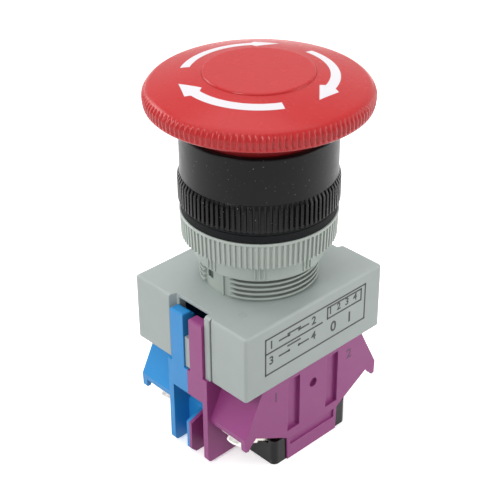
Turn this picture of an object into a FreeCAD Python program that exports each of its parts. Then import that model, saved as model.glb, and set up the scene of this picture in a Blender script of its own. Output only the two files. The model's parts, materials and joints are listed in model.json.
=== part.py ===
"""Panel-mount emergency stop push-button, 22 mm neck, with two clip-on contact blocks.

Units are millimetres. +Z points along the button's axis towards the mushroom head, and the origin is on
that axis at the panel's front face, where the gasket seats. The label face of the adaptor and the
normally-closed block are at -Y, the normally-open block is at +Y, and the long side of the adaptor runs
along X.
"""
import FreeCAD, Part
import math
import os

Vector = FreeCAD.Vector
AXIS_X = Vector(1, 0, 0)
AXIS_Y = Vector(0, 1, 0)
AXIS_Z = Vector(0, 0, 1)
ORIGIN = Vector(0, 0, 0)

# Travel of the moving pieces
PUSH_TRAVEL = 4.0
PIN_TRAVEL = 1.0
NO_BRIDGE_TRAVEL = 2.15

# Clearances between pieces that move on each other
RUNNING = 0.06
SLIDING = 0.1

# Mushroom head
HEAD_R = 20.0
HEAD_RIM_Z = 20.15
HEAD_SKIRT_TOP_Z = 22.8
DOME_TOP_Z = 26.16
DOME_R = 68.5
HEAD_WEB_LOW_Z = 21.4
HEAD_WEB_TOP_Z = 23.2
HEAD_GROOVES = 120
HEAD_GROOVE_DEPTH = 0.3
HEAD_SKIRT_WALL = 1.6
HEAD_SHOULDER_WIDTH = 1.8
HEAD_SCREW_HOLE_R = 1.96
CAP_R = 9.7
CAP_TOP_Z = 25.8
CAP_HOLLOW_R = 8.4

# Cam sleeve under the head
SLEEVE_R = 12.4
SLEEVE_LOW_Z = 11.8
SLEEVE_POCKET_R = 11.2
SLEEVE_POCKET_INNER_R = 8.2
SLEEVE_POCKET_TOP_Z = 17.4

# Front collar, bezel ring and gasket
COLLAR_R = 14.0
COLLAR_TOP_Z = 16.0
COLLAR_FOOT_R = 12.9
COLLAR_FLOOR_TOP_Z = 7.5
COLLAR_BORE_R = 12.7
GUIDE_BORE_R = 7.5
SPIGOT_R = 9.2
SPIGOT_LOW_Z = -9.0
BEZEL_R = 14.45
BEZEL_TOP_Z = 7.36
BEZEL_GROOVES = 90
BEZEL_GROOVE_DEPTH = 0.45
GASKET_R = 14.0
GASKET_THICKNESS = 2.0

# Threaded neck for the panel hole
THREAD_R = 11.0
THREAD_ROOT_R = 10.35
THREAD_PITCH = 1.0
FIRST_CREST_Z = -13.2
THREAD_TURNS = 14
THREAD_CREST_WIDTH = 0.3
THREAD_FLANK_WIDTH = 0.18
KEYWAY_ANGLE = 169.0
KEYWAY_WIDTH = 1.7
KEYWAY_FLOOR_R = 9.75
KEYWAY_LOW_Z = -12.0
INDEX_RIB_ANGLE = 188.6
PLAIN_START_ANGLE = 161.0
PLAIN_END_ANGLE = 197.0
NECK_LOW_Z = -15.92
NECK_FLOOR_LOW_Z = -15.0
NECK_FLOOR_TOP_Z = -13.2
NECK_BORE_R = 8.0

# Locking ring and anti-rotation washer below the panel
RING_TOP_R = 14.25
RING_LOW_R = 14.05
RING_BORE_R = 11.1
RING_TOP_Z = -0.05
RING_RIM_LOW_Z = -0.5
RING_LOW_Z = -5.04
RING_GROOVES = 90
RING_GROOVE_DEPTH = 0.4
WASHER_R = 11.85
WASHER_TOP_Z = -5.1
WASHER_LOW_Z = -8.86
WASHER_KEY_WIDTH = 1.5
WASHER_KEY_TIP_R = 9.9
WASHER_KEY_LOW_Z = -7.5
WASHER_MARKS = 8
FIRST_MARK_ANGLE = -134.0
MARK_SPACING = 4.0
MARK_LOW_Z = -8.5

# Adaptor box
BOX_HALF_X = 17.42
BOX_HALF_Y = 14.54
BOX_TOP_Z = -13.92
BOX_LOW_Z = -27.3
BOX_ROOF = 2.0
CAVITY_HALF_X = 14.4
CAVITY_HALF_Y = 13.0
NOTCH_BACK_X = 15.95
NOTCH_LIP_SIDE_Y = -4.25
NOTCH_OPEN_SIDE_Y = 4.7
LIP_WIDTH = 1.35
LIP_PROUD = 0.25
RIB_HALF_Y = 0.7
RIB_FACE_X = 17.9
RIB_TOP_Z = -20.5
WINDOW_HALF_Y = 4.1
WINDOW_Z = (-18.6, -14.6)

# Contact blocks (given for the violet block at -Y; the blue one is its mirror image)
BLOCK_FRONT_Y = 14.2
BLOCK_SKIN = 1.2
FIN_OUTER_Y = 5.2
FIN_INNER_Y = 4.0
FIN_HALF_X = 18.2
FIN_LOW_Z = -46.1
BLOCK_TOP_Z = -22.8
BLOCK_LOW_Z = -46.6
SLOPE_IN_X = 7.1
SLOPE_IN_Z = -41.2
SLOPE_OUT_X = 14.6
SLOPE_OUT_Z = -36.9
LIP_TIP_X = 17.2
LIP_TIP_Z = -38.95
WING_X = 17.3
WING_Z = -36.1
WING_TOP_X = 12.9
END_FACE_LOW_Z = -37.2
TONGUE_HALF_X = 6.5
FRONT_WALL_LOW_Z = -32.7
RIB_PLATE_TOP_Z = -39.5
ARM_TOP_Z = -15.8
ARM_INNER_X = 16.1
ARM_Y = (-4.2, -0.78)
NUB_Z = (-18.4, -16.9)
END_WALL_X = 14.6
END_WALL_TOP_Z = -38.2
RECESS_X = 12.6
RECESS_LOW_Z = -35.8
RIB_PLATE_THICKNESS = 0.65
TOP_HALF_X = 13.6
TOP_Y = (-12.9, 0.0)
CHANNEL_X = (3.5, 6.6)
CHANNEL_Z = (-39.9, -28.4)
CHANNEL_DEPTH = 0.7
LEDGE_HALF_X = 5.9
LEDGE_Z = (-43.5, -41.6)
LEDGE_DEPTH = 0.35
DIMPLE_R = 0.95
DIMPLE_Z = -32.1

# Chamber and core of a contact block
CHAMBER_HALF_X = 9.0
CHAMBER_ROOF_Z = -25.2
CHAMBER_Y = (-12.6, -6.0)
CORE_HALF_X = 9.7
CORE_FRONT_Y = -13.9
CORE_POCKET_HALF_X = 8.2
CORE_FLOOR_Z = -44.9
STEM_Y = -9.3

# Contacts and terminals
STRIP = 0.8
STRIP_HALF_WIDTH = 3.0
STRIP_INNER_X = 4.9
STRIP_LOW_Z = -42.0
TIP_R = 1.3
TIP_X = 6.3
TIP_HEIGHT = 0.5
CONTACT_GAP = 0.05
ROD_THIN_R = 0.9
FLANGE_R = 2.9
BRIDGE_HALF_X = 7.7
BRIDGE_HALF_Y = 1.7
BRIDGE = 0.6
NC_BRIDGE_TOP_Z = -29.0
NO_BRIDGE_TOP_Z = -29.4
TERMINAL_X = 13.1
TERMINAL_OFFSET = 0.7
STRIP_OUTER_X = 15.9
WASHER_SIDE = 5.4
WASHER_THICKNESS = 0.6
SCREW_HEAD_R = 2.4
SCREW_HEAD = 1.3
SCREW_SHANK_R = 1.5

# Springs
WIRE_SIDES = 8
STATIONS_PER_TURN = 20

# Push rod
ROD_R = 2.6
PISTON_R = GUIDE_BORE_R - 0.08
PISTON_TOP_Z = 1.4
PISTON_LOW_Z = -1.4
CONE_LOW_Z = 2.6
CONE_TOP_Z = 9.4
PIN_AXIS_Z = 4.0
CONE_R_AT_PIN = 5.0
CONE_SLOPE = PIN_TRAVEL / PUSH_TRAVEL
ROD_HEAD_TOP_Z = 21.3
PLATE_TOP_Z = -16.1
PLATE_LOW_Z = -17.6
PIN_R = 1.2
PIN_GAP = 0.12
PIN_END_X = 10.4
STEM_R = 2.0
HEAD_SCREW_SHOULDER_R = 1.9
HEAD_SCREW_SHANK_R = 1.2
HEAD_SCREW_DEPTH = 6
PLATE_SCREW_SHANK_R = 0.9
PLATE_SCREW_DEPTH = 4
PLATE_HALF_X = 4.0
PLATE_HALF_Y = 11.6


def box(x_span, y_span, z_span):
    """A box between the given limits, in any order."""
    low = Vector(min(x_span), min(y_span), min(z_span))
    size = [abs(span[1] - span[0]) for span in (x_span, y_span, z_span)]
    return Part.makeBox(size[0], size[1], size[2], low)


def cylinder(radius, z_low, z_high, x=0.0, y=0.0):
    """An upright cylinder."""
    return Part.makeCylinder(radius, z_high - z_low, Vector(x, y, z_low))


def tube(outer, inner, z_low, z_high):
    """An upright tube on the button's axis."""
    return cylinder(outer, z_low, z_high).cut(cylinder(inner, z_low - 1, z_high + 1))


def revolve(points):
    """A solid of revolution about Z from a closed outline of (radius, z) points."""
    corners = [Vector(radius, 0, z) for radius, z in points]
    face = Part.Face(Part.makePolygon(corners + corners[:1]))
    return face.revolve(ORIGIN, AXIS_Z, 360)


def prism_y(points, y_low, y_high):
    """An outline of (x, z) points extruded along Y."""
    corners = [Vector(x, y_low, z) for x, z in points]
    face = Part.Face(Part.makePolygon(corners + corners[:1]))
    return face.extrude(Vector(0, y_high - y_low, 0))


def prism_z(points, z_low, z_high):
    """An outline of (x, y) points extruded upwards."""
    corners = [Vector(x, y, z_low) for x, y in points]
    face = Part.Face(Part.makePolygon(corners + corners[:1]))
    return face.extrude(Vector(0, 0, z_high - z_low))


def fuse(shapes):
    """One solid from shapes that touch."""
    return shapes[0].multiFuse(list(shapes[1:])).removeSplitter()


def polar(radius, degrees, z=0.0):
    """The point at a radius and an angle about Z."""
    angle = math.radians(degrees)
    return Vector(radius * math.cos(angle), radius * math.sin(angle), z)


def turned(shape, degrees):
    """A copy of a shape turned about Z."""
    copy = shape.copy()
    copy.rotate(ORIGIN, AXIS_Z, degrees)
    return copy


def mirror_y(shape):
    """The mirror image across the plane between the two contact blocks."""
    return shape.mirror(ORIGIN, AXIS_Y)


def mirror_x(shape):
    """The mirror image across the middle of the long side."""
    return shape.mirror(ORIGIN, AXIS_X)


def round_edges(shape, radius, wanted):
    """Round the edges for which wanted(edge) is true."""
    edges = [edge for edge in shape.Edges if wanted(edge)]
    return shape.makeFillet(radius, edges)


def is_upright(edge):
    """True for a straight edge along Z."""
    first = edge.Vertexes[0].Point
    last = edge.Vertexes[-1].Point
    return abs(first.x - last.x) + abs(first.y - last.y) < 1e-6 and edge.Length > 1e-3


def at_height(edge, z):
    """True for an edge that lies at a height."""
    return all(abs(vertex.Point.z - z) < 1e-6 for vertex in edge.Vertexes)


def ribbed_outline(radius, depth, count, z):
    """The closed outline of a ring with straight-sided grooves, about half groove and half rib."""
    step = 360.0 / count
    corners = []
    for index in range(count):
        start = index * step
        corners.append(polar(radius, start, z))
        corners.append(polar(radius, start + 0.46 * step, z))
        corners.append(polar(radius - depth, start + 0.58 * step, z))
        corners.append(polar(radius - depth, start + 0.88 * step, z))
    return Part.makePolygon(corners + corners[:1])


def knurled_ring(low_radius, top_radius, bore, z_low, z_high, depth, count):
    """A ring with upright grooves all round, which may taper."""
    low = ribbed_outline(low_radius, depth, count, z_low)
    high = ribbed_outline(top_radius, depth * top_radius / low_radius, count, z_high)
    return Part.makeLoft([low, high], True, True).cut(cylinder(bore, z_low - 1, z_high + 1))


def wire_section(radius, wire, degrees, z):
    """The many-sided outline of a spring's wire where it crosses an angle, at a height."""
    corners = []
    for index in range(WIRE_SIDES):
        corner = 2 * math.pi * index / WIRE_SIDES
        corners.append(polar(radius + wire * math.cos(corner), degrees, z + wire * math.sin(corner)))
    return Part.makePolygon(corners + corners[:1])


def coil_spring(radius, wire, z_low, z_high, turns, x=0.0, y=0.0):
    """A compression spring of that wire radius, between two heights."""
    stations = turns * STATIONS_PER_TURN
    rise = (z_high - z_low - 2 * wire) / stations
    sections = []
    for index in range(stations + 1):
        sections.append(wire_section(radius, wire, index * 360.0 / STATIONS_PER_TURN, index * rise))
    spring = Part.makeLoft(sections, True, True)
    spring.translate(Vector(x, y, z_low + wire))
    return spring


def save(node, *shapes):
    """Write one sub-part, as one solid or a group of separate solids."""
    solids = [solid for shape in shapes for solid in shape.Solids]
    whole = solids[0] if len(solids) == 1 else Part.Compound(solids)
    whole.exportStep("parts/" + node + ".step")
    print(node, len(solids), round(sum(solid.Volume for solid in solids), 2), whole.isValid())


# ---------------------------------------------------------------- operator

def dome_z(radius):
    """Height of the head's domed top at a radius from the axis."""
    return DOME_TOP_Z - DOME_R + math.sqrt(DOME_R ** 2 - radius ** 2)


def mushroom_head():
    """Red mushroom with a grooved skirt, a domed top, a hollow under the rim and a seat for the cap."""
    skirt_inner = HEAD_R - HEAD_SKIRT_WALL
    shoulder_r = HEAD_R - HEAD_SHOULDER_WIDTH
    groove_root = HEAD_R - 0.6
    seat = CAP_R + 0.02
    hole = HEAD_SCREW_HOLE_R
    dome_edge = Vector(shoulder_r, 0, dome_z(shoulder_r))
    shoulder = Part.Arc(Vector(HEAD_R, 0, HEAD_SKIRT_TOP_Z), Vector(HEAD_R - 0.5, 0, HEAD_SKIRT_TOP_Z + 0.55),
                        dome_edge)
    middle_r = (shoulder_r + seat) / 2
    dome = Part.Arc(dome_edge, Vector(middle_r, 0, dome_z(middle_r)), Vector(seat, 0, dome_z(seat)))
    floor = [Vector(seat, 0, dome_z(seat)), Vector(seat, 0, HEAD_WEB_TOP_Z), Vector(hole, 0, HEAD_WEB_TOP_Z),
             Vector(hole, 0, HEAD_WEB_LOW_Z), Vector(skirt_inner, 0, HEAD_WEB_LOW_Z),
             Vector(skirt_inner, 0, HEAD_RIM_Z), Vector(groove_root, 0, HEAD_RIM_Z),
             Vector(groove_root, 0, HEAD_SKIRT_TOP_Z), Vector(HEAD_R, 0, HEAD_SKIRT_TOP_Z)]
    edges = [shoulder.toShape(), dome.toShape()] + Part.makePolygon(floor).Edges
    body = Part.Face(Part.Wire(edges)).revolve(ORIGIN, AXIS_Z, 360)
    skirt = knurled_ring(HEAD_R, HEAD_R, HEAD_R - 0.9, HEAD_RIM_Z, HEAD_SKIRT_TOP_Z, HEAD_GROOVE_DEPTH,
                         HEAD_GROOVES)
    return fuse([body, skirt])


def head_cap():
    """Raised disc pressed into the middle of the head, hollow over the screw."""
    disc = cylinder(CAP_R, HEAD_WEB_TOP_Z, CAP_TOP_Z)
    disc = round_edges(disc, 0.4, lambda edge: at_height(edge, CAP_TOP_Z))
    return disc.cut(cylinder(CAP_HOLLOW_R, HEAD_WEB_TOP_Z - 1, CAP_TOP_Z - 1.0))


def cam_sleeve():
    """Red sleeve under the head that turns on the push rod, with a pocket for the torsion spring."""
    bore = CONE_R_AT_PIN + CONE_SLOPE * (CONE_TOP_Z - PIN_AXIS_Z) + RUNNING
    body = tube(SLEEVE_R, bore, SLEEVE_LOW_Z, HEAD_WEB_LOW_Z)
    pocket = tube(SLEEVE_POCKET_R, SLEEVE_POCKET_INNER_R, SLEEVE_LOW_Z - 1, SLEEVE_POCKET_TOP_Z)
    return body.cut(pocket)


def head_screw():
    """Shoulder screw that holds the head on the push rod and lets it turn."""
    shoulder = cylinder(HEAD_SCREW_SHOULDER_R, ROD_HEAD_TOP_Z, HEAD_WEB_TOP_Z + 0.1)
    head = cylinder(3.4, HEAD_WEB_TOP_Z + 0.1, HEAD_WEB_TOP_Z + 1.15)
    shank = cylinder(HEAD_SCREW_SHANK_R, ROD_HEAD_TOP_Z - HEAD_SCREW_DEPTH, ROD_HEAD_TOP_Z)
    slot = box((-0.4, 0.4), (-4, 4), (HEAD_WEB_TOP_Z + 0.6, HEAD_WEB_TOP_Z + 2))
    return fuse([shoulder, head, shank]).cut(slot)


def plunger():
    """Push rod: head seat, tapered track for the lock pins, guide piston and long rod."""
    cone_low_r = CONE_R_AT_PIN + CONE_SLOPE * (CONE_LOW_Z - PIN_AXIS_Z)
    cone_top_r = CONE_R_AT_PIN + CONE_SLOPE * (CONE_TOP_Z - PIN_AXIS_Z)
    body = revolve([(0, PLATE_TOP_Z), (ROD_R, PLATE_TOP_Z), (ROD_R, PISTON_LOW_Z), (PISTON_R, PISTON_LOW_Z),
                    (PISTON_R, PISTON_TOP_Z), (cone_low_r, PISTON_TOP_Z), (cone_low_r, CONE_LOW_Z),
                    (cone_top_r, CONE_TOP_Z), (cone_top_r, ROD_HEAD_TOP_Z), (0, ROD_HEAD_TOP_Z)])
    tapped_top = cylinder(HEAD_SCREW_SHANK_R, ROD_HEAD_TOP_Z - HEAD_SCREW_DEPTH, ROD_HEAD_TOP_Z + 1)
    tapped_foot = cylinder(PLATE_SCREW_SHANK_R, PLATE_TOP_Z - 1, PLATE_TOP_Z + PLATE_SCREW_DEPTH)
    return body.cut(tapped_top).cut(tapped_foot)


def push_plate():
    """Plate on the rod's foot that presses both contact blocks."""
    plate = box((-PLATE_HALF_X, PLATE_HALF_X), (-PLATE_HALF_Y, PLATE_HALF_Y), (PLATE_LOW_Z, PLATE_TOP_Z))
    plate = round_edges(plate, 1.5, is_upright)
    return plate.cut(cylinder(PLATE_SCREW_SHANK_R + 0.05, PLATE_LOW_Z - 1, PLATE_TOP_Z + 1))


def push_plate_screw():
    """Small screw that holds the push plate on the rod."""
    head = cylinder(1.9, PLATE_LOW_Z - 0.6, PLATE_LOW_Z)
    shank = cylinder(PLATE_SCREW_SHANK_R, PLATE_LOW_Z, PLATE_TOP_Z + PLATE_SCREW_DEPTH)
    return fuse([head, shank])


def pin_hole(radius):
    """The radial hole for the lock pin at +X."""
    return Part.makeCylinder(radius, COLLAR_FOOT_R, Vector(1, 0, PIN_AXIS_Z), AXIS_X)


def front_collar():
    """Black collar: cup for the sleeve, pin block, guide bore and spigot that plugs into the neck."""
    cup = tube(COLLAR_R, COLLAR_BORE_R, BEZEL_TOP_Z, COLLAR_TOP_Z)
    cup = round_edges(cup, 0.35, lambda edge: at_height(edge, COLLAR_TOP_Z))
    floor = tube(COLLAR_R, GUIDE_BORE_R, BEZEL_TOP_Z, COLLAR_FLOOR_TOP_Z)
    foot = tube(COLLAR_FOOT_R, GUIDE_BORE_R, GASKET_THICKNESS, COLLAR_FLOOR_TOP_Z)
    spigot = tube(SPIGOT_R, GUIDE_BORE_R, SPIGOT_LOW_Z, GASKET_THICKNESS)
    body = fuse([cup, floor, foot, spigot])
    hole = pin_hole(PIN_R + RUNNING)
    return body.cut(hole).cut(mirror_x(hole))


def bezel_ring():
    """Black knurled ring pressed round the collar's foot."""
    return knurled_ring(BEZEL_R, BEZEL_R, COLLAR_FOOT_R, GASKET_THICKNESS, BEZEL_TOP_Z, BEZEL_GROOVE_DEPTH,
                        BEZEL_GROOVES)


def panel_gasket():
    """Rubber seal with a fine groove near its top."""
    groove_low = GASKET_THICKNESS - 0.5
    groove_top = GASKET_THICKNESS - 0.35
    bore = THREAD_R + 0.1
    return revolve([(bore, 0), (GASKET_R, 0), (GASKET_R, groove_low), (GASKET_R - 0.3, groove_low),
                    (GASKET_R - 0.3, groove_top), (GASKET_R, groove_top), (GASKET_R, GASKET_THICKNESS),
                    (bore, GASKET_THICKNESS)])


def lock_pin():
    """The lock pin at +X, with a round nose against the tapered track."""
    nose_x = CONE_R_AT_PIN + (PIN_R + PIN_GAP) * math.hypot(1, CONE_SLOPE)
    nose = Part.makeSphere(PIN_R, Vector(nose_x, 0, PIN_AXIS_Z))
    shank = Part.makeCylinder(PIN_R, PIN_END_X - nose_x, Vector(nose_x, 0, PIN_AXIS_Z), AXIS_X)
    return fuse([nose, shank])


def lock_pin_spring():
    """Coil spring between the lock pin at +X and the bezel ring."""
    spring = coil_spring(0.75, 0.15, 0, COLLAR_FOOT_R - PIN_END_X, 3)
    spring.rotate(ORIGIN, AXIS_Y, 90)
    spring.translate(Vector(PIN_END_X, 0, PIN_AXIS_Z))
    return spring


def return_spring():
    """Main spring between the neck's floor and the guide piston."""
    return coil_spring(5.2, 0.45, NECK_FLOOR_TOP_Z, PISTON_LOW_Z, 5)


def torsion_spring():
    """Coil in the sleeve's pocket that turns the head back."""
    middle = (SLEEVE_POCKET_R + SLEEVE_POCKET_INNER_R) / 2
    return coil_spring(middle, 0.4, SLEEVE_LOW_Z + 0.2, SLEEVE_POCKET_TOP_Z - 0.2, 5)


# ---------------------------------------------------------------- neck, nut and washer

def thread_outline():
    """Outline points of the neck's outside, with a ridge at each thread turn, from the bottom up."""
    points = []
    for turn in range(THREAD_TURNS):
        crest = FIRST_CREST_Z + turn * THREAD_PITCH
        half = THREAD_CREST_WIDTH / 2
        points.append((THREAD_ROOT_R, crest - half - THREAD_FLANK_WIDTH))
        points.append((THREAD_R, crest - half))
        points.append((THREAD_R, crest + half))
        points.append((THREAD_ROOT_R, crest + half + THREAD_FLANK_WIDTH))
    return points


def sector(inner, outer, start_deg, end_deg, z_low, z_high):
    """A piece of a tube between two angles."""
    ring = Part.makeCylinder(outer, z_high - z_low, Vector(0, 0, z_low), AXIS_Z, end_deg - start_deg)
    ring.rotate(ORIGIN, AXIS_Z, start_deg)
    return ring.cut(cylinder(inner, z_low - 1, z_high + 1))


def keyway(width, floor_r, outer_r, z_low, z_high):
    """A straight-sided radial bar at the keyway's angle, for the slot or for the key."""
    bar = box((floor_r, outer_r), (-width / 2, width / 2), (z_low, z_high))
    return turned(bar, KEYWAY_ANGLE)


def threaded_neck():
    """Grey neck that passes through the panel: threaded outside, with a keyway and a plain stretch."""
    outside = [(THREAD_ROOT_R, NECK_LOW_Z)] + thread_outline() + [(THREAD_ROOT_R, GASKET_THICKNESS)]
    inside = [(SPIGOT_R, GASKET_THICKNESS), (SPIGOT_R, SPIGOT_LOW_Z), (NECK_BORE_R, SPIGOT_LOW_Z),
              (NECK_BORE_R, NECK_FLOOR_TOP_Z), (ROD_R + RUNNING, NECK_FLOOR_TOP_Z),
              (ROD_R + RUNNING, NECK_FLOOR_LOW_Z), (NECK_BORE_R, NECK_FLOOR_LOW_Z), (NECK_BORE_R, NECK_LOW_Z)]
    body = revolve(outside + inside)
    plain = sector(THREAD_ROOT_R, THREAD_R + 1, PLAIN_START_ANGLE, PLAIN_END_ANGLE, NECK_LOW_Z, GASKET_THICKNESS)
    slot = keyway(KEYWAY_WIDTH, KEYWAY_FLOOR_R, THREAD_R + 2, KEYWAY_LOW_Z, GASKET_THICKNESS + 1)
    rib = sector(THREAD_ROOT_R - 0.2, THREAD_ROOT_R + 0.4, INDEX_RIB_ANGLE - 1, INDEX_RIB_ANGLE + 1, BOX_TOP_Z,
                 RING_LOW_Z)
    return fuse([body.cut(plain).cut(slot), rib])


def locking_ring():
    """Grey nut: plain rim over a knurled, slightly tapered skirt, with a bore clear of the thread."""
    rim = tube(RING_TOP_R, RING_BORE_R, RING_RIM_LOW_Z, RING_TOP_Z)
    skirt = knurled_ring(RING_LOW_R, RING_TOP_R, RING_BORE_R, RING_LOW_Z, RING_RIM_LOW_Z, RING_GROOVE_DEPTH,
                         RING_GROOVES)
    return fuse([rim, skirt])


def thrust_washer():
    """Grey keyed washer: thin sleeve with a key in the neck's keyway and index ribs in threes outside."""
    body = tube(WASHER_R, THREAD_R + SLIDING, WASHER_LOW_Z, WASHER_TOP_Z)
    key = keyway(WASHER_KEY_WIDTH, WASHER_KEY_TIP_R, WASHER_R - 0.1, WASHER_KEY_LOW_Z, WASHER_TOP_Z)
    rib = box((WASHER_R - 0.1, WASHER_R + 0.2), (-0.16, 0.16), (MARK_LOW_Z, WASHER_TOP_Z))
    ribs = []
    for index in range(WASHER_MARKS):
        for offset in (-MARK_SPACING, 0.0, MARK_SPACING):
            ribs.append(turned(rib, FIRST_MARK_ANGLE + index * 360.0 / WASHER_MARKS + offset))
    return fuse([body, key] + ribs)


# ---------------------------------------------------------------- adaptor box

def end_notch():
    """The full-height notch in the -X end that takes the hook arms."""
    return prism_z([(-NOTCH_BACK_X, NOTCH_LIP_SIDE_Y), (-BOX_HALF_X - 1, NOTCH_LIP_SIDE_Y),
                    (-BOX_HALF_X - 1, NOTCH_OPEN_SIDE_Y + 0.95), (-NOTCH_BACK_X, NOTCH_OPEN_SIDE_Y)],
                   BOX_LOW_Z - 1, BOX_TOP_Z + 1)


def half_turn(shape):
    """The copy at the opposite end, turned half a turn about Z."""
    return turned(shape, 180)


def mounting_adaptor():
    """Grey box under the neck, open below, with notches for the hook arms in both ends."""
    body = box((-BOX_HALF_X, BOX_HALF_X), (-BOX_HALF_Y, BOX_HALF_Y), (BOX_LOW_Z, BOX_TOP_Z))
    body = round_edges(body, 0.55, lambda edge: not at_height(edge, BOX_LOW_Z))
    cavity = box((-CAVITY_HALF_X, CAVITY_HALF_X), (-CAVITY_HALF_Y, CAVITY_HALF_Y),
                 (BOX_LOW_Z - 1, BOX_TOP_Z - BOX_ROOF))
    neck_hole = cylinder(THREAD_ROOT_R, BOX_TOP_Z - BOX_ROOF - 1, BOX_TOP_Z + 1)
    body = body.cut(cavity).cut(neck_hole)
    notch = end_notch()
    groove_y = NOTCH_LIP_SIDE_Y - LIP_WIDTH
    groove = box((-BOX_HALF_X - 1, -BOX_HALF_X + 0.45), (groove_y - 0.3, groove_y), (BOX_LOW_Z - 1, BOX_TOP_Z + 1))
    window = box((-NOTCH_BACK_X - 1, -CAVITY_HALF_X + 1), (-WINDOW_HALF_Y, WINDOW_HALF_Y), WINDOW_Z)
    bead = box((-BOX_HALF_X - LIP_PROUD, -BOX_HALF_X + 0.3), (groove_y, NOTCH_LIP_SIDE_Y),
               (BOX_LOW_Z, BOX_TOP_Z - 0.3))
    bead = round_edges(bead, 0.2, lambda edge: is_upright(edge) and edge.Vertexes[0].Point.x < -BOX_HALF_X)
    rib = box((-RIB_FACE_X, -NOTCH_BACK_X + 0.2), (-RIB_HALF_Y, RIB_HALF_Y), (BOX_LOW_Z + 0.3, RIB_TOP_Z))
    for tool in (notch, groove, window):
        body = body.cut(tool).cut(half_turn(tool))
    return fuse([body, bead, half_turn(bead), rib, half_turn(rib)])


# ---------------------------------------------------------------- contact block housings

def slope_along():
    """Unit vector along the wing's sloping underside at +X, outwards and upwards."""
    slope = Vector(SLOPE_OUT_X - SLOPE_IN_X, 0, SLOPE_OUT_Z - SLOPE_IN_Z)
    return slope / slope.Length


def slope_away():
    """Unit vector square to the sloping underside at +X, outwards and downwards."""
    along = slope_along()
    return Vector(along.z, 0, -along.x)


def slope_z(x, below=0.0):
    """Height at x of the front skin's sloping edge, or of a line that far below it and parallel to it."""
    along = slope_along()
    return SLOPE_IN_Z + (x - SLOPE_IN_X) * along.z / along.x - below / along.x


def wing_outline(right_low):
    """Outline of a housing seen from its front, given the lower edge's (x, z) points at +X."""
    right = right_low + [(WING_X, WING_Z), (WING_TOP_X, BOX_LOW_Z)]
    left = [(-x, z) for x, z in reversed(right)]
    return right + left


def tongue_edge():
    """The +X edge of the front tongue, from the bottom up to the wing's slope, as (x, z) points."""
    return [(TONGUE_HALF_X, BLOCK_LOW_Z), (TONGUE_HALF_X + 0.2, SLOPE_IN_Z - 0.4), (SLOPE_IN_X, SLOPE_IN_Z)]


def housing_front():
    """Front skin of a housing: tongue to the bottom, channels, button dimple and framed ledge."""
    lip = [(SLOPE_OUT_X, SLOPE_OUT_Z), (LIP_TIP_X - 1.3, LIP_TIP_Z + 0.9), (LIP_TIP_X - 0.7, LIP_TIP_Z),
           (LIP_TIP_X, LIP_TIP_Z + 0.15)]
    outline = wing_outline(tongue_edge() + lip)
    skin = prism_y(outline, -BLOCK_FRONT_Y, -BLOCK_FRONT_Y + BLOCK_SKIN)
    outside_y = -BLOCK_FRONT_Y - 1
    channel = box(CHANNEL_X, (outside_y, -BLOCK_FRONT_Y + CHANNEL_DEPTH), CHANNEL_Z)
    ledge = box((-LEDGE_HALF_X, LEDGE_HALF_X), (outside_y, -BLOCK_FRONT_Y + LEDGE_DEPTH), LEDGE_Z)
    dimple = Part.makeCylinder(DIMPLE_R, 1 + CHANNEL_DEPTH, Vector(0, outside_y, DIMPLE_Z), AXIS_Y)
    for recess in (channel, mirror_x(channel), ledge, dimple):
        skin = skin.cut(recess)
    return skin


def hook_arm():
    """Hook arm at -X, with a nub that snaps into the adaptor's window."""
    arm = box((-FIN_HALF_X, -ARM_INNER_X), ARM_Y, (BOX_LOW_Z - 0.5, ARM_TOP_Z))
    arm = round_edges(arm, 0.3, lambda edge: at_height(edge, ARM_TOP_Z))
    nub = box((-ARM_INNER_X - 0.3, -ARM_INNER_X + 1.0), (ARM_Y[0] + 0.8, ARM_Y[1] - 0.3), NUB_Z)
    return fuse([arm, nub])


def fin():
    """Insulating fin beside the terminals, across the whole length."""
    plate = box((-FIN_HALF_X, FIN_HALF_X), (-FIN_OUTER_Y, -FIN_INNER_Y), (FIN_LOW_Z, BOX_LOW_Z))
    return round_edges(plate, 0.9, lambda edge: (at_height(edge, FIN_LOW_Z)
                                                 and abs(edge.CenterOfMass.x) > FIN_HALF_X - 0.1))


def inner_block():
    """The half between the fin and the other block: end walls, finger recesses and rib plates."""
    right = [(END_WALL_X, FIN_LOW_Z), (END_WALL_X, END_WALL_TOP_Z), (RECESS_X, RECESS_LOW_Z),
             (RECESS_X, FRONT_WALL_LOW_Z - 0.6), (RECESS_X + 1, FRONT_WALL_LOW_Z),
             (FIN_HALF_X, FRONT_WALL_LOW_Z), (FIN_HALF_X, BOX_LOW_Z)]
    left = [(-x, z) for x, z in reversed(right)]
    block = prism_y(right + left, -FIN_INNER_Y, 0)
    rib_low_z = FIN_LOW_Z - 0.5
    rib = prism_y([(END_WALL_X, rib_low_z), (END_WALL_X, END_WALL_TOP_Z), (FIN_HALF_X, RIB_PLATE_TOP_Z),
                   (FIN_HALF_X, rib_low_z + 1.1), (FIN_HALF_X - 1.1, rib_low_z)], -RIB_PLATE_THICKNESS, 0)
    return [block, rib, mirror_x(rib)]


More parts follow.
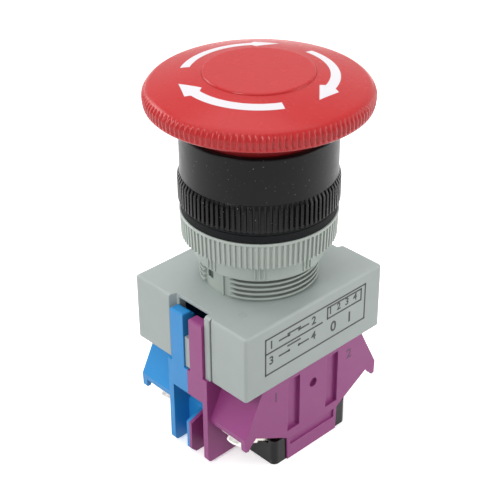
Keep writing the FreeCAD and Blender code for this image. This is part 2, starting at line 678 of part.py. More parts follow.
def housing(stem_hole_r):
    """Contact block shell for the -Y side: skin, wings, fin, inner half, hook arms and chamber."""
    inner_x = SLOPE_IN_X + TERMINAL_OFFSET / slope_along().z
    outer_x = STRIP_OUTER_X + 0.3
    outline = wing_outline([(inner_x, SLOPE_IN_Z), (outer_x, slope_z(outer_x, TERMINAL_OFFSET)),
                            (WING_X - 0.05, END_FACE_LOW_Z)])
    wings = prism_y(outline, -BLOCK_FRONT_Y + BLOCK_SKIN, -FIN_OUTER_Y)
    arm = hook_arm()
    top = box((-TOP_HALF_X, TOP_HALF_X), TOP_Y, (BOX_LOW_Z, BLOCK_TOP_Z))
    top = round_edges(top, 0.5, lambda edge: at_height(edge, BLOCK_TOP_Z) and abs(edge.CenterOfMass.y) > 0.1)
    body = fuse([housing_front(), wings, fin(), arm, mirror_x(arm), top] + inner_block())
    chamber = box((-CHAMBER_HALF_X, CHAMBER_HALF_X), CHAMBER_Y, (SLOPE_IN_Z - 1, CHAMBER_ROOF_Z))
    stem_hole = cylinder(stem_hole_r, CHAMBER_ROOF_Z - 1, BLOCK_TOP_Z + 1, 0, STEM_Y)
    core_room = box((-CORE_HALF_X, CORE_HALF_X), (-BLOCK_FRONT_Y + BLOCK_SKIN, -FIN_OUTER_Y),
                    (BLOCK_LOW_Z - 1, SLOPE_IN_Z))
    return body.cut(chamber).cut(stem_hole).cut(core_room)


def core():
    """Black inner body that closes the chamber from below and carries the terminal strips."""
    body = box((-CORE_HALF_X, CORE_HALF_X), (CORE_FRONT_Y, -FIN_OUTER_Y), (BLOCK_LOW_Z, SLOPE_IN_Z))
    body = round_edges(body, 1.1, lambda edge: is_upright(edge) and edge.CenterOfMass.y < -13)
    edge = tongue_edge()
    outline = edge + [(-x, z) for x, z in reversed(edge)]
    tongue_room = prism_y(outline, -BLOCK_FRONT_Y - 1, -BLOCK_FRONT_Y + BLOCK_SKIN)
    pocket = box((-CORE_POCKET_HALF_X, CORE_POCKET_HALF_X), CHAMBER_Y, (CORE_FLOOR_Z, SLOPE_IN_Z + 1))
    strip_room = box((-CORE_HALF_X - 1, CORE_HALF_X + 1), (STEM_Y - STRIP_HALF_WIDTH, STEM_Y + STRIP_HALF_WIDTH),
                     (STRIP_LOW_Z - 0.1, SLOPE_IN_Z + 1))
    return body.cut(tongue_room).cut(pocket).cut(strip_room)


# ---------------------------------------------------------------- contacts and terminals

def terminal_strip(arm_top_z):
    """Bent strip at +X: contact arm in the chamber, leg down the wall, and terminal plate on the slope."""
    y_low = STEM_Y - STRIP_HALF_WIDTH
    y_high = STEM_Y + STRIP_HALF_WIDTH
    leg_inner_x = CHAMBER_HALF_X - STRIP
    arm = box((STRIP_INNER_X, CHAMBER_HALF_X), (STEM_Y - 1.6, STEM_Y + 1.6), (arm_top_z - STRIP, arm_top_z))
    leg = box((leg_inner_x, CHAMBER_HALF_X), (y_low, y_high), (STRIP_LOW_Z, arm_top_z))
    start_x = leg_inner_x + 0.5
    start = Vector(start_x, 0, slope_z(start_x, TERMINAL_OFFSET))
    end = Vector(STRIP_OUTER_X, 0, slope_z(STRIP_OUTER_X, TERMINAL_OFFSET))
    thickness = slope_away() * STRIP
    corners = [start, end, end + thickness, start + thickness]
    plate = prism_y([(corner.x, corner.z) for corner in corners], y_low, y_high)
    return fuse([arm, leg, plate]).cut(terminal_hole(SCREW_SHANK_R))


def terminal_point(distance):
    """The point on the terminal screw's axis at a distance below the strip's upper face."""
    return Vector(TERMINAL_X, STEM_Y, slope_z(TERMINAL_X)) + slope_away() * (TERMINAL_OFFSET + distance)


def terminal_hole(radius):
    """Cylinder on the terminal screw's axis, deep enough to cut through strip and washer."""
    return Part.makeCylinder(radius, 8, terminal_point(-4), slope_away())


def terminal_washer():
    """Square clamping washer at +X, on the strip."""
    plate = Part.makeBox(WASHER_SIDE, WASHER_SIDE, WASHER_THICKNESS,
                         Vector(-WASHER_SIDE / 2, -WASHER_SIDE / 2, 0))
    plate = round_edges(plate, 0.6, is_upright)
    plate = plate.cut(Part.makeCylinder(SCREW_SHANK_R, 2, Vector(0, 0, -1)))
    plate.Placement = FreeCAD.Placement(terminal_point(STRIP), FreeCAD.Rotation(AXIS_Z, slope_away()))
    return plate


def terminal_screw():
    """Pan-head terminal screw at +X with a cross recess."""
    shank = Part.makeCylinder(SCREW_SHANK_R, STRIP + WASHER_THICKNESS)
    head = Part.makeCylinder(SCREW_HEAD_R, SCREW_HEAD, Vector(0, 0, STRIP + WASHER_THICKNESS))
    head_top = STRIP + WASHER_THICKNESS + SCREW_HEAD
    head = round_edges(head, 0.5, lambda edge: at_height(edge, head_top))
    screw = fuse([shank, head])
    for size in ((3.0, 0.7), (0.7, 3.0)):
        screw = screw.cut(Part.makeBox(size[0], size[1], 2, Vector(-size[0] / 2, -size[1] / 2, head_top - 0.8)))
    screw.Placement = FreeCAD.Placement(terminal_point(0), FreeCAD.Rotation(AXIS_Z, slope_away()))
    return screw


def contact_tip(z_low):
    """Silver contact rivet head at +X."""
    return cylinder(TIP_R, z_low, z_low + TIP_HEIGHT, TIP_X, STEM_Y)


def bridge(top_z, hole_r):
    """Moving contact bridge across the chamber, with a guide hole."""
    bar = box((-BRIDGE_HALF_X, BRIDGE_HALF_X), (STEM_Y - BRIDGE_HALF_Y, STEM_Y + BRIDGE_HALF_Y),
              (top_z - BRIDGE, top_z))
    return bar.cut(cylinder(hole_r, top_z - 2, top_z + 1, 0, STEM_Y))


def stem(rod_low_z, shoulder_z):
    """Push stem of a contact block: top rod, stop flange, neck and thin guide rod."""
    top = cylinder(STEM_R, CHAMBER_ROOF_Z - 1, PLATE_LOW_Z - CONTACT_GAP, 0, STEM_Y)
    flange = cylinder(FLANGE_R, CHAMBER_ROOF_Z - 1, CHAMBER_ROOF_Z - 0.2, 0, STEM_Y)
    neck = cylinder(1.7, shoulder_z, CHAMBER_ROOF_Z - 1, 0, STEM_Y)
    rod = cylinder(ROD_THIN_R, rod_low_z, shoulder_z, 0, STEM_Y)
    return fuse([top, flange, neck, rod])


def nc_contacts():
    """Normally-closed set: bridge pressed up against the fixed tips, pushed off them by the stem."""
    tip_z = NC_BRIDGE_TOP_Z + TIP_HEIGHT + CONTACT_GAP
    strip = terminal_strip(tip_z + TIP_HEIGHT + STRIP)
    fixed = contact_tip(tip_z)
    moving = contact_tip(NC_BRIDGE_TOP_Z)
    save("nc_terminal_strips", strip, mirror_x(strip))
    save("nc_fixed_tips", fixed, mirror_x(fixed))
    save("nc_bridge", bridge(NC_BRIDGE_TOP_Z, ROD_THIN_R))
    save("nc_bridge_tips", moving, mirror_x(moving))
    save("nc_stem", stem(NC_BRIDGE_TOP_Z - BRIDGE - 1.2, NC_BRIDGE_TOP_Z))
    save("nc_spring", coil_spring(1.9, 0.2, CORE_FLOOR_Z, NC_BRIDGE_TOP_Z - BRIDGE, 8, 0, STEM_Y))


def no_contacts():
    """Normally-open set at +Y: bridge held above the fixed tips by the stem's end collar."""
    bridge_low = NO_BRIDGE_TOP_Z - BRIDGE
    fixed_top = bridge_low - TIP_HEIGHT - NO_BRIDGE_TRAVEL - CONTACT_GAP
    strip = terminal_strip(fixed_top - TIP_HEIGHT)
    fixed = contact_tip(fixed_top - TIP_HEIGHT)
    moving = contact_tip(bridge_low - TIP_HEIGHT)
    shoulder_z = CHAMBER_ROOF_Z - 1.4
    collar_top = bridge_low - CONTACT_GAP
    collar = cylinder(2.2, collar_top - 0.7, collar_top, 0, STEM_Y)
    push_stem = fuse([stem(collar_top - 0.7, shoulder_z), collar])
    save("no_terminal_strips", mirror_y(strip), mirror_y(mirror_x(strip)))
    save("no_fixed_tips", mirror_y(fixed), mirror_y(mirror_x(fixed)))
    save("no_bridge", mirror_y(bridge(NO_BRIDGE_TOP_Z, ROD_THIN_R + 0.08)))
    save("no_bridge_tips", mirror_y(moving), mirror_y(mirror_x(moving)))
    save("no_stem", mirror_y(push_stem))
    save("no_contact_spring", coil_spring(1.4, 0.2, NO_BRIDGE_TOP_Z, shoulder_z, 3, 0, -STEM_Y))
    save("no_return_spring", coil_spring(1.7, 0.2, CORE_FLOOR_Z, collar_top - 0.7, 7, 0, -STEM_Y))


def contact_blocks():
    """Both contact blocks: shells, cores, terminals and contact sets."""
    shell = housing(STEM_R + RUNNING)
    inner = core()
    save("nc_housing", shell)
    save("no_housing", mirror_y(shell))
    save("nc_core", inner)
    save("no_core", mirror_y(inner))
    screw = terminal_screw()
    washer = terminal_washer()
    screws = [screw, mirror_x(screw)]
    washers = [washer, mirror_x(washer)]
    save("terminal_screws", *(screws + [mirror_y(item) for item in screws]))
    save("terminal_washers", *(washers + [mirror_y(item) for item in washers]))
    nc_contacts()
    no_contacts()


def operator():
    """The push-button itself: head, rod, collar, latch pins and springs."""
    save("mushroom_head", mushroom_head())
    save("head_cap", head_cap())
    save("cam_sleeve", cam_sleeve())
    save("head_screw", head_screw())
    save("plunger", plunger())
    save("push_plate", push_plate())
    save("push_plate_screw", push_plate_screw())
    save("front_collar", front_collar())
    save("bezel_ring", bezel_ring())
    save("panel_gasket", panel_gasket())
    save("lock_pin_right", lock_pin())
    save("lock_pin_left", mirror_x(lock_pin()))
    save("lock_pin_spring_right", lock_pin_spring())
    save("lock_pin_spring_left", mirror_x(lock_pin_spring()))
    save("return_spring", return_spring())
    save("torsion_spring", torsion_spring())


def panel_fixing():
    """The threaded neck, its nut and washer, and the adaptor box."""
    save("threaded_neck", threaded_neck())
    save("locking_ring", locking_ring())
    save("thrust_washer", thrust_washer())
    save("mounting_adaptor", mounting_adaptor())


os.makedirs("parts", exist_ok=True)
operator()
panel_fixing()
contact_blocks()
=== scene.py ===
"""Looks of a panel-mount emergency stop push-button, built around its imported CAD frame.

Lengths are metres, in the frame of the CAD: +Z runs up the button's axis to the mushroom head, the origin is
where the gasket meets the panel, the violet contact block is at -Y and the blue one at +Y.
"""
from __future__ import annotations

import json
import logging
import math
from dataclasses import dataclass, field
from enum import Enum
from typing import Callable, Iterable, Sequence

import bmesh
import bpy
from mathutils import Matrix, Vector
from mathutils.bvhtree import BVHTree

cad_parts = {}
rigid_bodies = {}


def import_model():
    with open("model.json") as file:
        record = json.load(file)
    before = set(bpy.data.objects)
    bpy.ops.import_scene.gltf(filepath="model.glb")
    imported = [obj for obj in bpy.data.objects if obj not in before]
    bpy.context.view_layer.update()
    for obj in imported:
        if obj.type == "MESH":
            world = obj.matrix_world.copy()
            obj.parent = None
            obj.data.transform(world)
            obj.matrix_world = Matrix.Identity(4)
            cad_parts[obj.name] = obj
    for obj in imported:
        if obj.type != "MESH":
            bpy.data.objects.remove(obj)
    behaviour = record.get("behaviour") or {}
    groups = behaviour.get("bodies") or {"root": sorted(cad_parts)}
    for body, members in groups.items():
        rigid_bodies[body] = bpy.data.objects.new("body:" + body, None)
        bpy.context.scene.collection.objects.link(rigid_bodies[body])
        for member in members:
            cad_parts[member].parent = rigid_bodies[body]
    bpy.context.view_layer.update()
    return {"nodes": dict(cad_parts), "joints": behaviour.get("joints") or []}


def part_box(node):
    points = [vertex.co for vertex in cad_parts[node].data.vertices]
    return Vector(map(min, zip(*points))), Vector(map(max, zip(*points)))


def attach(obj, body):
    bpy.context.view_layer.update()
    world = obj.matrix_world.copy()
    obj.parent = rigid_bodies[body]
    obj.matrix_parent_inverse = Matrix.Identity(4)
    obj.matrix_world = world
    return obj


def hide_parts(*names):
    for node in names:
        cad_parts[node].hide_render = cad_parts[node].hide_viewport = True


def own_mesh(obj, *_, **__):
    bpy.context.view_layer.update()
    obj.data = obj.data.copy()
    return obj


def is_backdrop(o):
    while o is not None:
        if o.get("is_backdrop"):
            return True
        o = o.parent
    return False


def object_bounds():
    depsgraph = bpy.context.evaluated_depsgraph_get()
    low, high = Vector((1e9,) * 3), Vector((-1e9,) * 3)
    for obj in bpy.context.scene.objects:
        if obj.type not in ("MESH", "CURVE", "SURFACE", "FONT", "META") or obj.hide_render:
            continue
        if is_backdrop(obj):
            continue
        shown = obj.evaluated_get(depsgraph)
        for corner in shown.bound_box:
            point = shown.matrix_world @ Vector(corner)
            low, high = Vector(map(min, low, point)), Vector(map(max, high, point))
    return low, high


LOG = logging.getLogger("stop_button")
MM = 0.001
TINY = 1e-6
Colour = tuple[float, float, float]
Point = tuple[float, float, float]
Where = Callable[[Vector], bool]


# ------------------------------------------------------------------------------------------ shader building

class Value:
    """A number socket that plain Python arithmetic extends with Math nodes."""

    def __init__(self, tree: ShaderTree, socket: bpy.types.NodeSocket) -> None:
        """Wrap an output socket of a shader tree."""
        self.tree = tree
        self.socket = socket

    def _math(self, operation: str, first: Value | float, second: Value | float,
              clamp: bool = False) -> Value:
        """Add a Math node.

        Args:
            operation: the Math node's operation.
            first: its first input.
            second: its second input.
            clamp: whether the result is held between 0 and 1.

        Returns:
            The node's result.
        """
        settings = {"operation": operation, "use_clamp": clamp}
        return self.tree.value("ShaderNodeMath", settings, {0: first, 1: second})

    def __add__(self, other: Value | float) -> Value:
        """Return self + other."""
        return self._math("ADD", self, other)

    def __radd__(self, other: float) -> Value:
        """Return other + self."""
        return self._math("ADD", other, self)

    def __sub__(self, other: Value | float) -> Value:
        """Return self - other."""
        return self._math("SUBTRACT", self, other)

    def __rsub__(self, other: float) -> Value:
        """Return other - self."""
        return self._math("SUBTRACT", other, self)

    def __mul__(self, other: Value | float) -> Value:
        """Return self * other."""
        return self._math("MULTIPLY", self, other)

    def __rmul__(self, other: float) -> Value:
        """Return other * self."""
        return self._math("MULTIPLY", other, self)

    def clamped(self) -> Value:
        """Return the value held between 0 and 1."""
        return self._math("ADD", self, 0.0, clamp=True)


class ShaderTree:
    """The node tree of one material, with a Principled shader at its end."""

    def __init__(self, name: str) -> None:
        """Start a material of that name with only its shader and output."""
        self.material = bpy.data.materials.new(name)
        self.material.use_nodes = True
        self.nodes = self.material.node_tree.nodes
        self.nodes.clear()
        output = self.nodes.new("ShaderNodeOutputMaterial")
        self.shader = self.nodes.new("ShaderNodeBsdfPrincipled")
        self.material.node_tree.links.new(self.shader.outputs[0], output.inputs[0])
        self.point = self.node("ShaderNodeTexCoord").outputs["Object"]

    def node(self, kind: str, settings: dict[str, object] | None = None,
             inputs: dict[str | int, object] | None = None) -> bpy.types.Node:
        """Add a node.

        Args:
            kind: the node's type name.
            settings: properties set before its inputs.
            inputs: values or links of its sockets, by name or number.

        Returns:
            The new node.
        """
        made = self.nodes.new(kind)
        for name, setting in (settings or {}).items():
            setattr(made, name, setting)
        for key, given in (inputs or {}).items():
            self.feed(made.inputs[key], given)
        return made

    def feed(self, socket: bpy.types.NodeSocket, given: object) -> None:
        """Link a socket, or set its value when a plain number or tuple is given."""
        if isinstance(given, Value):
            self.material.node_tree.links.new(given.socket, socket)
        elif isinstance(given, bpy.types.NodeSocket):
            self.material.node_tree.links.new(given, socket)
        else:
            socket.default_value = given

    def value(self, kind: str, settings: dict[str, object] | None = None,
              inputs: dict[str | int, object] | None = None, output: str | int = 0) -> Value:
        """Add a node and return one of its outputs as a number."""
        return Value(self, self.node(kind, settings, inputs).outputs[output])

    def noise(self, size: float, detail: float = 2.0, stretch: Point = (1.0, 1.0, 1.0)) -> Value:
        """Noise of about 0 to 1.

        Args:
            size: the width of its features in metres.
            detail: how many finer octaves it has.
            stretch: how much denser it is along each axis.

        Returns:
            The noise.
        """
        placed = self.node("ShaderNodeMapping", None, {"Vector": self.point, "Scale": stretch})
        inputs = {"Vector": placed.outputs[0], "Scale": 1.0 / size, "Detail": detail, "Roughness": 0.55}
        return self.value("ShaderNodeTexNoise", None, inputs)

    def dot(self, first: object, second: object) -> Value:
        """The dot product of two vectors."""
        inputs = {0: first, 1: second}
        return self.value("ShaderNodeVectorMath", {"operation": "DOT_PRODUCT"}, inputs, "Value")

    def blend(self, mask: Value, low: object, high: object) -> bpy.types.NodeSocket:
        """Mix two colours by a mask."""
        mixed = self.node("ShaderNodeMix", {"data_type": "RGBA"}, {0: mask, 6: low, 7: high})
        return mixed.outputs[2]

    def soft_edges(self, radius: float) -> tuple[bpy.types.NodeSocket, Value]:
        """Round the shading of sharp edges.

        Args:
            radius: the edges' radius in metres.

        Returns:
            The rounded normal, and a mask that is 1 on the edges.
        """
        rounded = self.node("ShaderNodeBevel", {"samples": 6}, {"Radius": radius}).outputs[0]
        plain = self.node("ShaderNodeNewGeometry").outputs["Normal"]
        agreement = self.dot(rounded, plain)
        return rounded, ((1.0 - agreement) * 5.0).clamped()

    def relief(self, height: Value, depth: float, under: bpy.types.NodeSocket) -> None:
        """Raise the surface by a height of 0 to 1, over a normal that is already there."""
        bump = self.node("ShaderNodeBump", None,
                         {"Height": height, "Distance": depth, "Strength": 1.0, "Normal": under})
        self.feed(self.shader.inputs["Normal"], bump.outputs[0])

    def paint(self, **sockets: object) -> None:
        """Set or link sockets of the shader, by name with underscores for spaces."""
        for name, given in sockets.items():
            self.feed(self.shader.inputs[name.replace("_", " ")], given)


def solid(colour: Colour, scale: float = 1.0) -> tuple[float, float, float, float]:
    """A colour with alpha, made lighter or darker by a factor."""
    red, green, blue = (min(1.0, part * scale) for part in colour)
    return red, green, blue, 1.0


# ------------------------------------------------------------------------------------------------ finishes

@dataclass(frozen=True)
class MouldedPlastic:
    """Injection-moulded plastic with a fine grain, faint flow mottling, dust, and paler edges that are partly
    wear and partly a painted highlight.
    """

    colour: Colour
    gloss_roughness: float = 0.38
    specular: float = 0.5
    grain: float = 0.12 * MM
    grain_depth: float = 0.004 * MM
    mottle: float = 0.06
    edge_radius: float = 0.12 * MM
    # paler edges: partly edge wear, partly a painted highlight where rounded edges catch the light
    edge_wear_and_highlight_tone: float = 1.3
    dust: float = 0.0
    dust_size: float = 0.28 * MM
    dust_level: float = 0.74
    dust_sharpness: float = 14.0
    dust_colour: Colour = (0.55, 0.55, 0.53)
    scatter: float = 0.0
    flow_size: float = 7.0 * MM
    handling_size: float = 2.2 * MM

    def make(self, name: str) -> bpy.types.Material:
        """Build the material."""
        tree = ShaderTree(name)
        normal, edges = tree.soft_edges(self.edge_radius)
        flow = tree.noise(self.flow_size, 3.0)
        grain = tree.noise(self.grain, 2.0)
        handling = tree.noise(self.handling_size, 4.0)
        darker, lighter = solid(self.colour, 1.0 - self.mottle), solid(self.colour, 1.0 + self.mottle)
        tinted = tree.blend(flow, darker, lighter)
        # edges painted paler, partly as wear and partly as a painted highlight of the light that rounded
        # edges catch
        worn_and_lit_edges = tree.blend(edges * (0.35 + 0.5 * handling), tinted, solid(self.colour, self.edge_wear_and_highlight_tone))
        if self.dust:
            specks = ((tree.noise(self.dust_size, 1.0) - self.dust_level) * self.dust_sharpness).clamped()
            worn_and_lit_edges = tree.blend(specks * self.dust, worn_and_lit_edges, solid(self.dust_colour))
        tree.paint(Base_Color=self.with_painted_shade(tree, worn_and_lit_edges), Specular_IOR_Level=self.specular,
                   Roughness=self.gloss_roughness + (handling - 0.5) * 0.16 + (grain - 0.5) * 0.08)
        if self.scatter:
            tree.paint(Subsurface_Weight=self.scatter, Subsurface_Scale=0.6 * MM,
                       Subsurface_Radius=(1.0, 0.4, 0.3))
        tree.relief(grain * 0.7 + handling * 0.3, self.grain_depth, normal)
        return tree.material

    def with_painted_shade(self, tree: ShaderTree, colour: bpy.types.NodeSocket) -> bpy.types.NodeSocket:
        """The colour with any painted shade over it: plain plastic has none."""
        return colour


@dataclass(frozen=True)
class ThreadedPlastic(MouldedPlastic):
    """Moulded plastic of the neck, with painted shade on its thread's flanks and in its keyway."""

    crest_r: float = 10.93 * MM
    root_r: float = 10.37 * MM
    keyway_r: float = 10.28 * MM
    # how dark the painted shade in the thread's gaps and the keyway is
    painted_shade_tone: float = 0.3
    crest_fade: float = 9000.0
    root_fade: float = 20000.0
    side_fade: float = 6000.0
    bare_middle: Point = (-1.0, 0.0175, 0.0)
    bare_reach: float = 9.95 * MM

    def with_painted_shade(self, tree: ShaderTree, colour: bpy.types.NodeSocket) -> bpy.types.NodeSocket:
        """The colour with painted shade on the thread's flanks and deep in the keyway, and none on the
        unthreaded side.
        """
        level = {0: tree.point, 1: (1.0, 1.0, 0.0)}
        flat = tree.node("ShaderNodeVectorMath", {"operation": "MULTIPLY"}, level).outputs[0]
        radius = tree.value("ShaderNodeVectorMath", {"operation": "LENGTH"}, {0: flat}, "Value")
        aside = tree.dot(flat, self.bare_middle)
        flank = (((self.crest_r - radius) * self.crest_fade).clamped()
                 * ((radius - self.root_r) * self.root_fade).clamped())
        threaded = ((self.bare_reach - aside) * self.side_fade).clamped()
        deep = ((self.keyway_r - radius) * self.side_fade).clamped()
        patches = 0.75 + 0.25 * tree.noise(1.4 * MM, 3.0)
        # painted shade: the thread's flanks and the keyway's floor are darkened where real shade falls
        # between the crests
        mask = (flank * threaded + deep).clamped() * patches
        return tree.blend(mask, colour, solid(self.colour, self.painted_shade_tone))


@dataclass(frozen=True)
class PlatedMetal:
    """Bright plated steel or brass with fine drawing marks and slight tarnish."""

    colour: Colour
    gloss_roughness: float = 0.24
    marks: Point = (1.0, 1.0, 1.0)
    tarnish: float = 0.25

    def make(self, name: str) -> bpy.types.Material:
        """Build the material."""
        tree = ShaderTree(name)
        normal, edges = tree.soft_edges(0.08 * MM)
        lines = tree.noise(0.25 * MM, 3.0, self.marks)
        clouds = tree.noise(1.6 * MM, 3.0)
        tinted = tree.blend(clouds * self.tarnish, solid(self.colour), solid(self.colour, 0.6))
        tree.paint(Base_Color=tree.blend(edges * 0.5, tinted, solid(self.colour, 1.15)), Metallic=1.0,
                   Roughness=self.gloss_roughness + (lines - 0.5) * 0.18 + (clouds - 0.5) * 0.12)
        tree.relief(lines, 0.004 * MM, normal)
        return tree.material


@dataclass(frozen=True)
class SealRubber:
    """Matt rubber with a faint bloom and a fine pitted skin."""

    colour: Colour
    specular: float = 0.14

    def make(self, name: str) -> bpy.types.Material:
        """Build the material."""
        tree = ShaderTree(name)
        normal, edges = tree.soft_edges(0.1 * MM)
        pits = tree.noise(0.18 * MM, 3.0)
        bloom = tree.noise(3.0 * MM, 4.0)
        dusty = tree.blend(bloom * 0.5, solid(self.colour), solid(self.colour, 2.2))
        tree.paint(Base_Color=tree.blend(edges * 0.4, dusty, solid(self.colour, 3.0)),
                   Specular_IOR_Level=self.specular, Roughness=0.72 + (pits - 0.5) * 0.2)
        tree.relief(pits, 0.012 * MM, normal)
        return tree.material


@dataclass(frozen=True)
class PrintedInk:
    """Pad-printed ink, slightly uneven, with a few thin spots."""

    colour: Colour
    base: Colour
    thin_spots: float = 0.35

    def make(self, name: str) -> bpy.types.Material:
        """Build the material."""
        tree = ShaderTree(name)
        film = tree.noise(0.35 * MM, 3.0)
        missing = ((film - 0.62) * 6.0).clamped() * self.thin_spots
        tree.paint(Base_Color=tree.blend(missing, solid(self.colour), solid(self.base)),
                   Roughness=0.45 + (film - 0.5) * 0.3)
        tree.relief(film, 0.006 * MM, tree.node("ShaderNodeNewGeometry").outputs["Normal"])
        return tree.material


@dataclass(frozen=True)
class PaleFloor:
    """Plain pale studio floor."""

    colour: Colour = (0.93, 0.93, 0.93)
    lift: float = 0.4

    def make(self, name: str) -> bpy.types.Material:
        """Build the material."""
        tree = ShaderTree(name)
        paper = tree.noise(60.0 * MM, 2.0)
        tree.paint(Base_Color=tree.blend(paper, solid(self.colour, 0.99), solid(self.colour, 1.01)),
                   Roughness=0.85, Emission_Color=(1.0, 1.0, 1.0, 1.0), Emission_Strength=self.lift)
        return tree.material


class Finish(Enum):
    """The finishes of the button, each with what it is made of."""

    RED_HEAD = MouldedPlastic((0.48, 0.013, 0.015), 0.25, 0.4, mottle=0.04, edge_wear_and_highlight_tone=1.2, scatter=0.1)
    # painted shade: the sleeve is the head's red darkened to how it looks in the shade under the head
    RED_SLEEVE_PAINTED_SHADE = MouldedPlastic((0.34, 0.012, 0.014), 0.45, mottle=0.05)
    BLACK_COLLAR = MouldedPlastic((0.0055, 0.0055, 0.006), 0.33, 0.16, edge_wear_and_highlight_tone=3.0, dust=0.5)
    BLACK_BEZEL = MouldedPlastic((0.004, 0.004, 0.005), 0.22, 0.2, edge_wear_and_highlight_tone=6.0, dust=0.6,
                                 edge_radius=0.08 * MM)
    GASKET = SealRubber((0.006, 0.0065, 0.007))
    GREY_THREAD = ThreadedPlastic((0.38, 0.43, 0.395), 0.42, edge_wear_and_highlight_tone=1.35, edge_radius=0.1 * MM)
    GREY_WASHER = MouldedPlastic((0.38, 0.43, 0.395), 0.42, edge_wear_and_highlight_tone=1.3, edge_radius=0.1 * MM)
    GREY_RING = MouldedPlastic((0.43, 0.475, 0.44), 0.42, edge_wear_and_highlight_tone=1.25, edge_radius=0.08 * MM)
    # the box's edges are painted paler, as wear and as a painted highlight along its rounded edges
    GREY_BOX = MouldedPlastic((0.37, 0.415, 0.40), 0.46, grain=0.16 * MM, grain_depth=0.008 * MM,
                              edge_wear_and_highlight_tone=1.4, edge_radius=0.25 * MM)
    VIOLET_SHELL = MouldedPlastic((0.28, 0.047, 0.195), 0.4, 0.4, edge_wear_and_highlight_tone=1.4)
    BLUE_SHELL = MouldedPlastic((0.018, 0.25, 0.60), 0.4, 0.42, edge_wear_and_highlight_tone=1.3)
    BLACK_CORE = MouldedPlastic((0.006, 0.006, 0.006), 0.22, 0.26, edge_wear_and_highlight_tone=4.0, grain_depth=0.002 * MM,
                                dust=0.3)
    WHITE_ACETAL = MouldedPlastic((0.78, 0.78, 0.74), 0.4, edge_wear_and_highlight_tone=1.1, scatter=0.2)
    ZINC_STEEL = PlatedMetal((0.86, 0.84, 0.80), 0.24)
    SPRING_STEEL = PlatedMetal((0.55, 0.55, 0.57), 0.3, (1.0, 1.0, 0.3))
    PLATED_STRIP = PlatedMetal((0.80, 0.77, 0.69), 0.26, (1.0, 0.15, 1.0))
    SILVER_TIP = PlatedMetal((0.88, 0.87, 0.85), 0.18)
    WHITE_INK = PrintedInk((0.68, 0.66, 0.69), (0.62, 0.05, 0.05), 0.1)
    BLACK_INK = PrintedInk((0.02, 0.022, 0.022), (0.2, 0.22, 0.21))
    VIOLET_INK = PrintedInk((0.10, 0.02, 0.085), (0.3, 0.07, 0.24))
    BLUE_INK = PrintedInk((0.012, 0.06, 0.22), (0.03, 0.2, 0.5))
    FLOOR = PaleFloor()


class FinishRack:
    """Makes each finish once and hands it out."""

    def __init__(self) -> None:
        """Start with no materials made."""
        self.made: dict[Finish, bpy.types.Material] = {}

    def get(self, finish: Finish) -> bpy.types.Material:
        """The material of a finish, made when it is first asked for."""
        if finish not in self.made:
            self.made[finish] = finish.value.make(finish.name.lower())
        return self.made[finish]


# -------------------------------------------------------------------------------------------- mesh building

def spun_profile(outline: Sequence[tuple[float, float]], steps: int) -> bmesh.types.BMesh:
    """A closed solid of revolution about Z.

    Args:
        outline: (radius, z) corners of its section, as a closed loop, or from axis to axis.
        steps: how many steps a full turn has.

    Returns:
        The mesh, with its faces pointing outwards.
    """
    mesh = bmesh.new()
    corners = [mesh.verts.new((radius, 0.0, z)) for radius, z in outline]
    for first, second in zip(corners, corners[1:]):
        mesh.edges.new((first, second))
    if min(radius for radius, _ in (outline[0], outline[-1])) > 1e-9:
        mesh.edges.new((corners[-1], corners[0]))
    bmesh.ops.spin(mesh, geom=mesh.verts[:] + mesh.edges[:], cent=(0, 0, 0), axis=(0, 0, 1),
                   angle=2 * math.pi, steps=steps, use_merge=True)
    bmesh.ops.remove_doubles(mesh, verts=mesh.verts[:], dist=1e-7)
    bmesh.ops.recalc_face_normals(mesh, faces=mesh.faces[:])
    return mesh


def arc_points(centre: tuple[float, float], radius: float, start: float, end: float,
               count: int) -> list[tuple[float, float]]:
    """Points along an arc in the (radius, z) plane, between two angles in degrees."""
    points = []
    for index in range(count + 1):
        angle = math.radians(start + (end - start) * index / count)
        points.append((centre[0] + radius * math.cos(angle), centre[1] + radius * math.sin(angle)))
    return points


def bent_line(start: tuple[float, float], bend: tuple[float, float], end: tuple[float, float],
              count: int) -> list[tuple[float, float]]:
    """Points after the start of a curve in the (radius, z) plane that leaves and arrives towards a bend."""
    points = []
    for index in range(1, count + 1):
        share = index / count
        weights = ((1 - share) ** 2, 2 * share * (1 - share), share ** 2)
        points.append(tuple(sum(weight * point[axis] for weight, point in zip(weights, (start, bend, end)))
                            for axis in (0, 1)))
    return points


def bevel_edges(mesh: bmesh.types.BMesh, offset: float, segments: int, where: Where) -> None:
    """Round the edges whose middle satisfies a test.

    Args:
        mesh: the mesh that is changed.
        offset: the width of the rounding.
        segments: how many faces it has.
        where: the test on an edge's middle.
    """
    chosen = [edge for edge in mesh.edges if where((edge.verts[0].co + edge.verts[1].co) / 2)]
    bmesh.ops.bevel(mesh, geom=chosen, offset=offset, offset_type="OFFSET", segments=segments, profile=0.5,
                    affect="EDGES", material=-1)


def block_between(low: Point, high: Point) -> bmesh.types.BMesh:
    """A box-shaped mesh between two corners."""
    mesh = bmesh.new()
    bmesh.ops.create_cube(mesh, size=1.0)
    size = Vector(high) - Vector(low)
    bmesh.ops.scale(mesh, vec=size, verts=mesh.verts[:])
    bmesh.ops.translate(mesh, vec=(Vector(low) + Vector(high)) / 2, verts=mesh.verts[:])
    return mesh


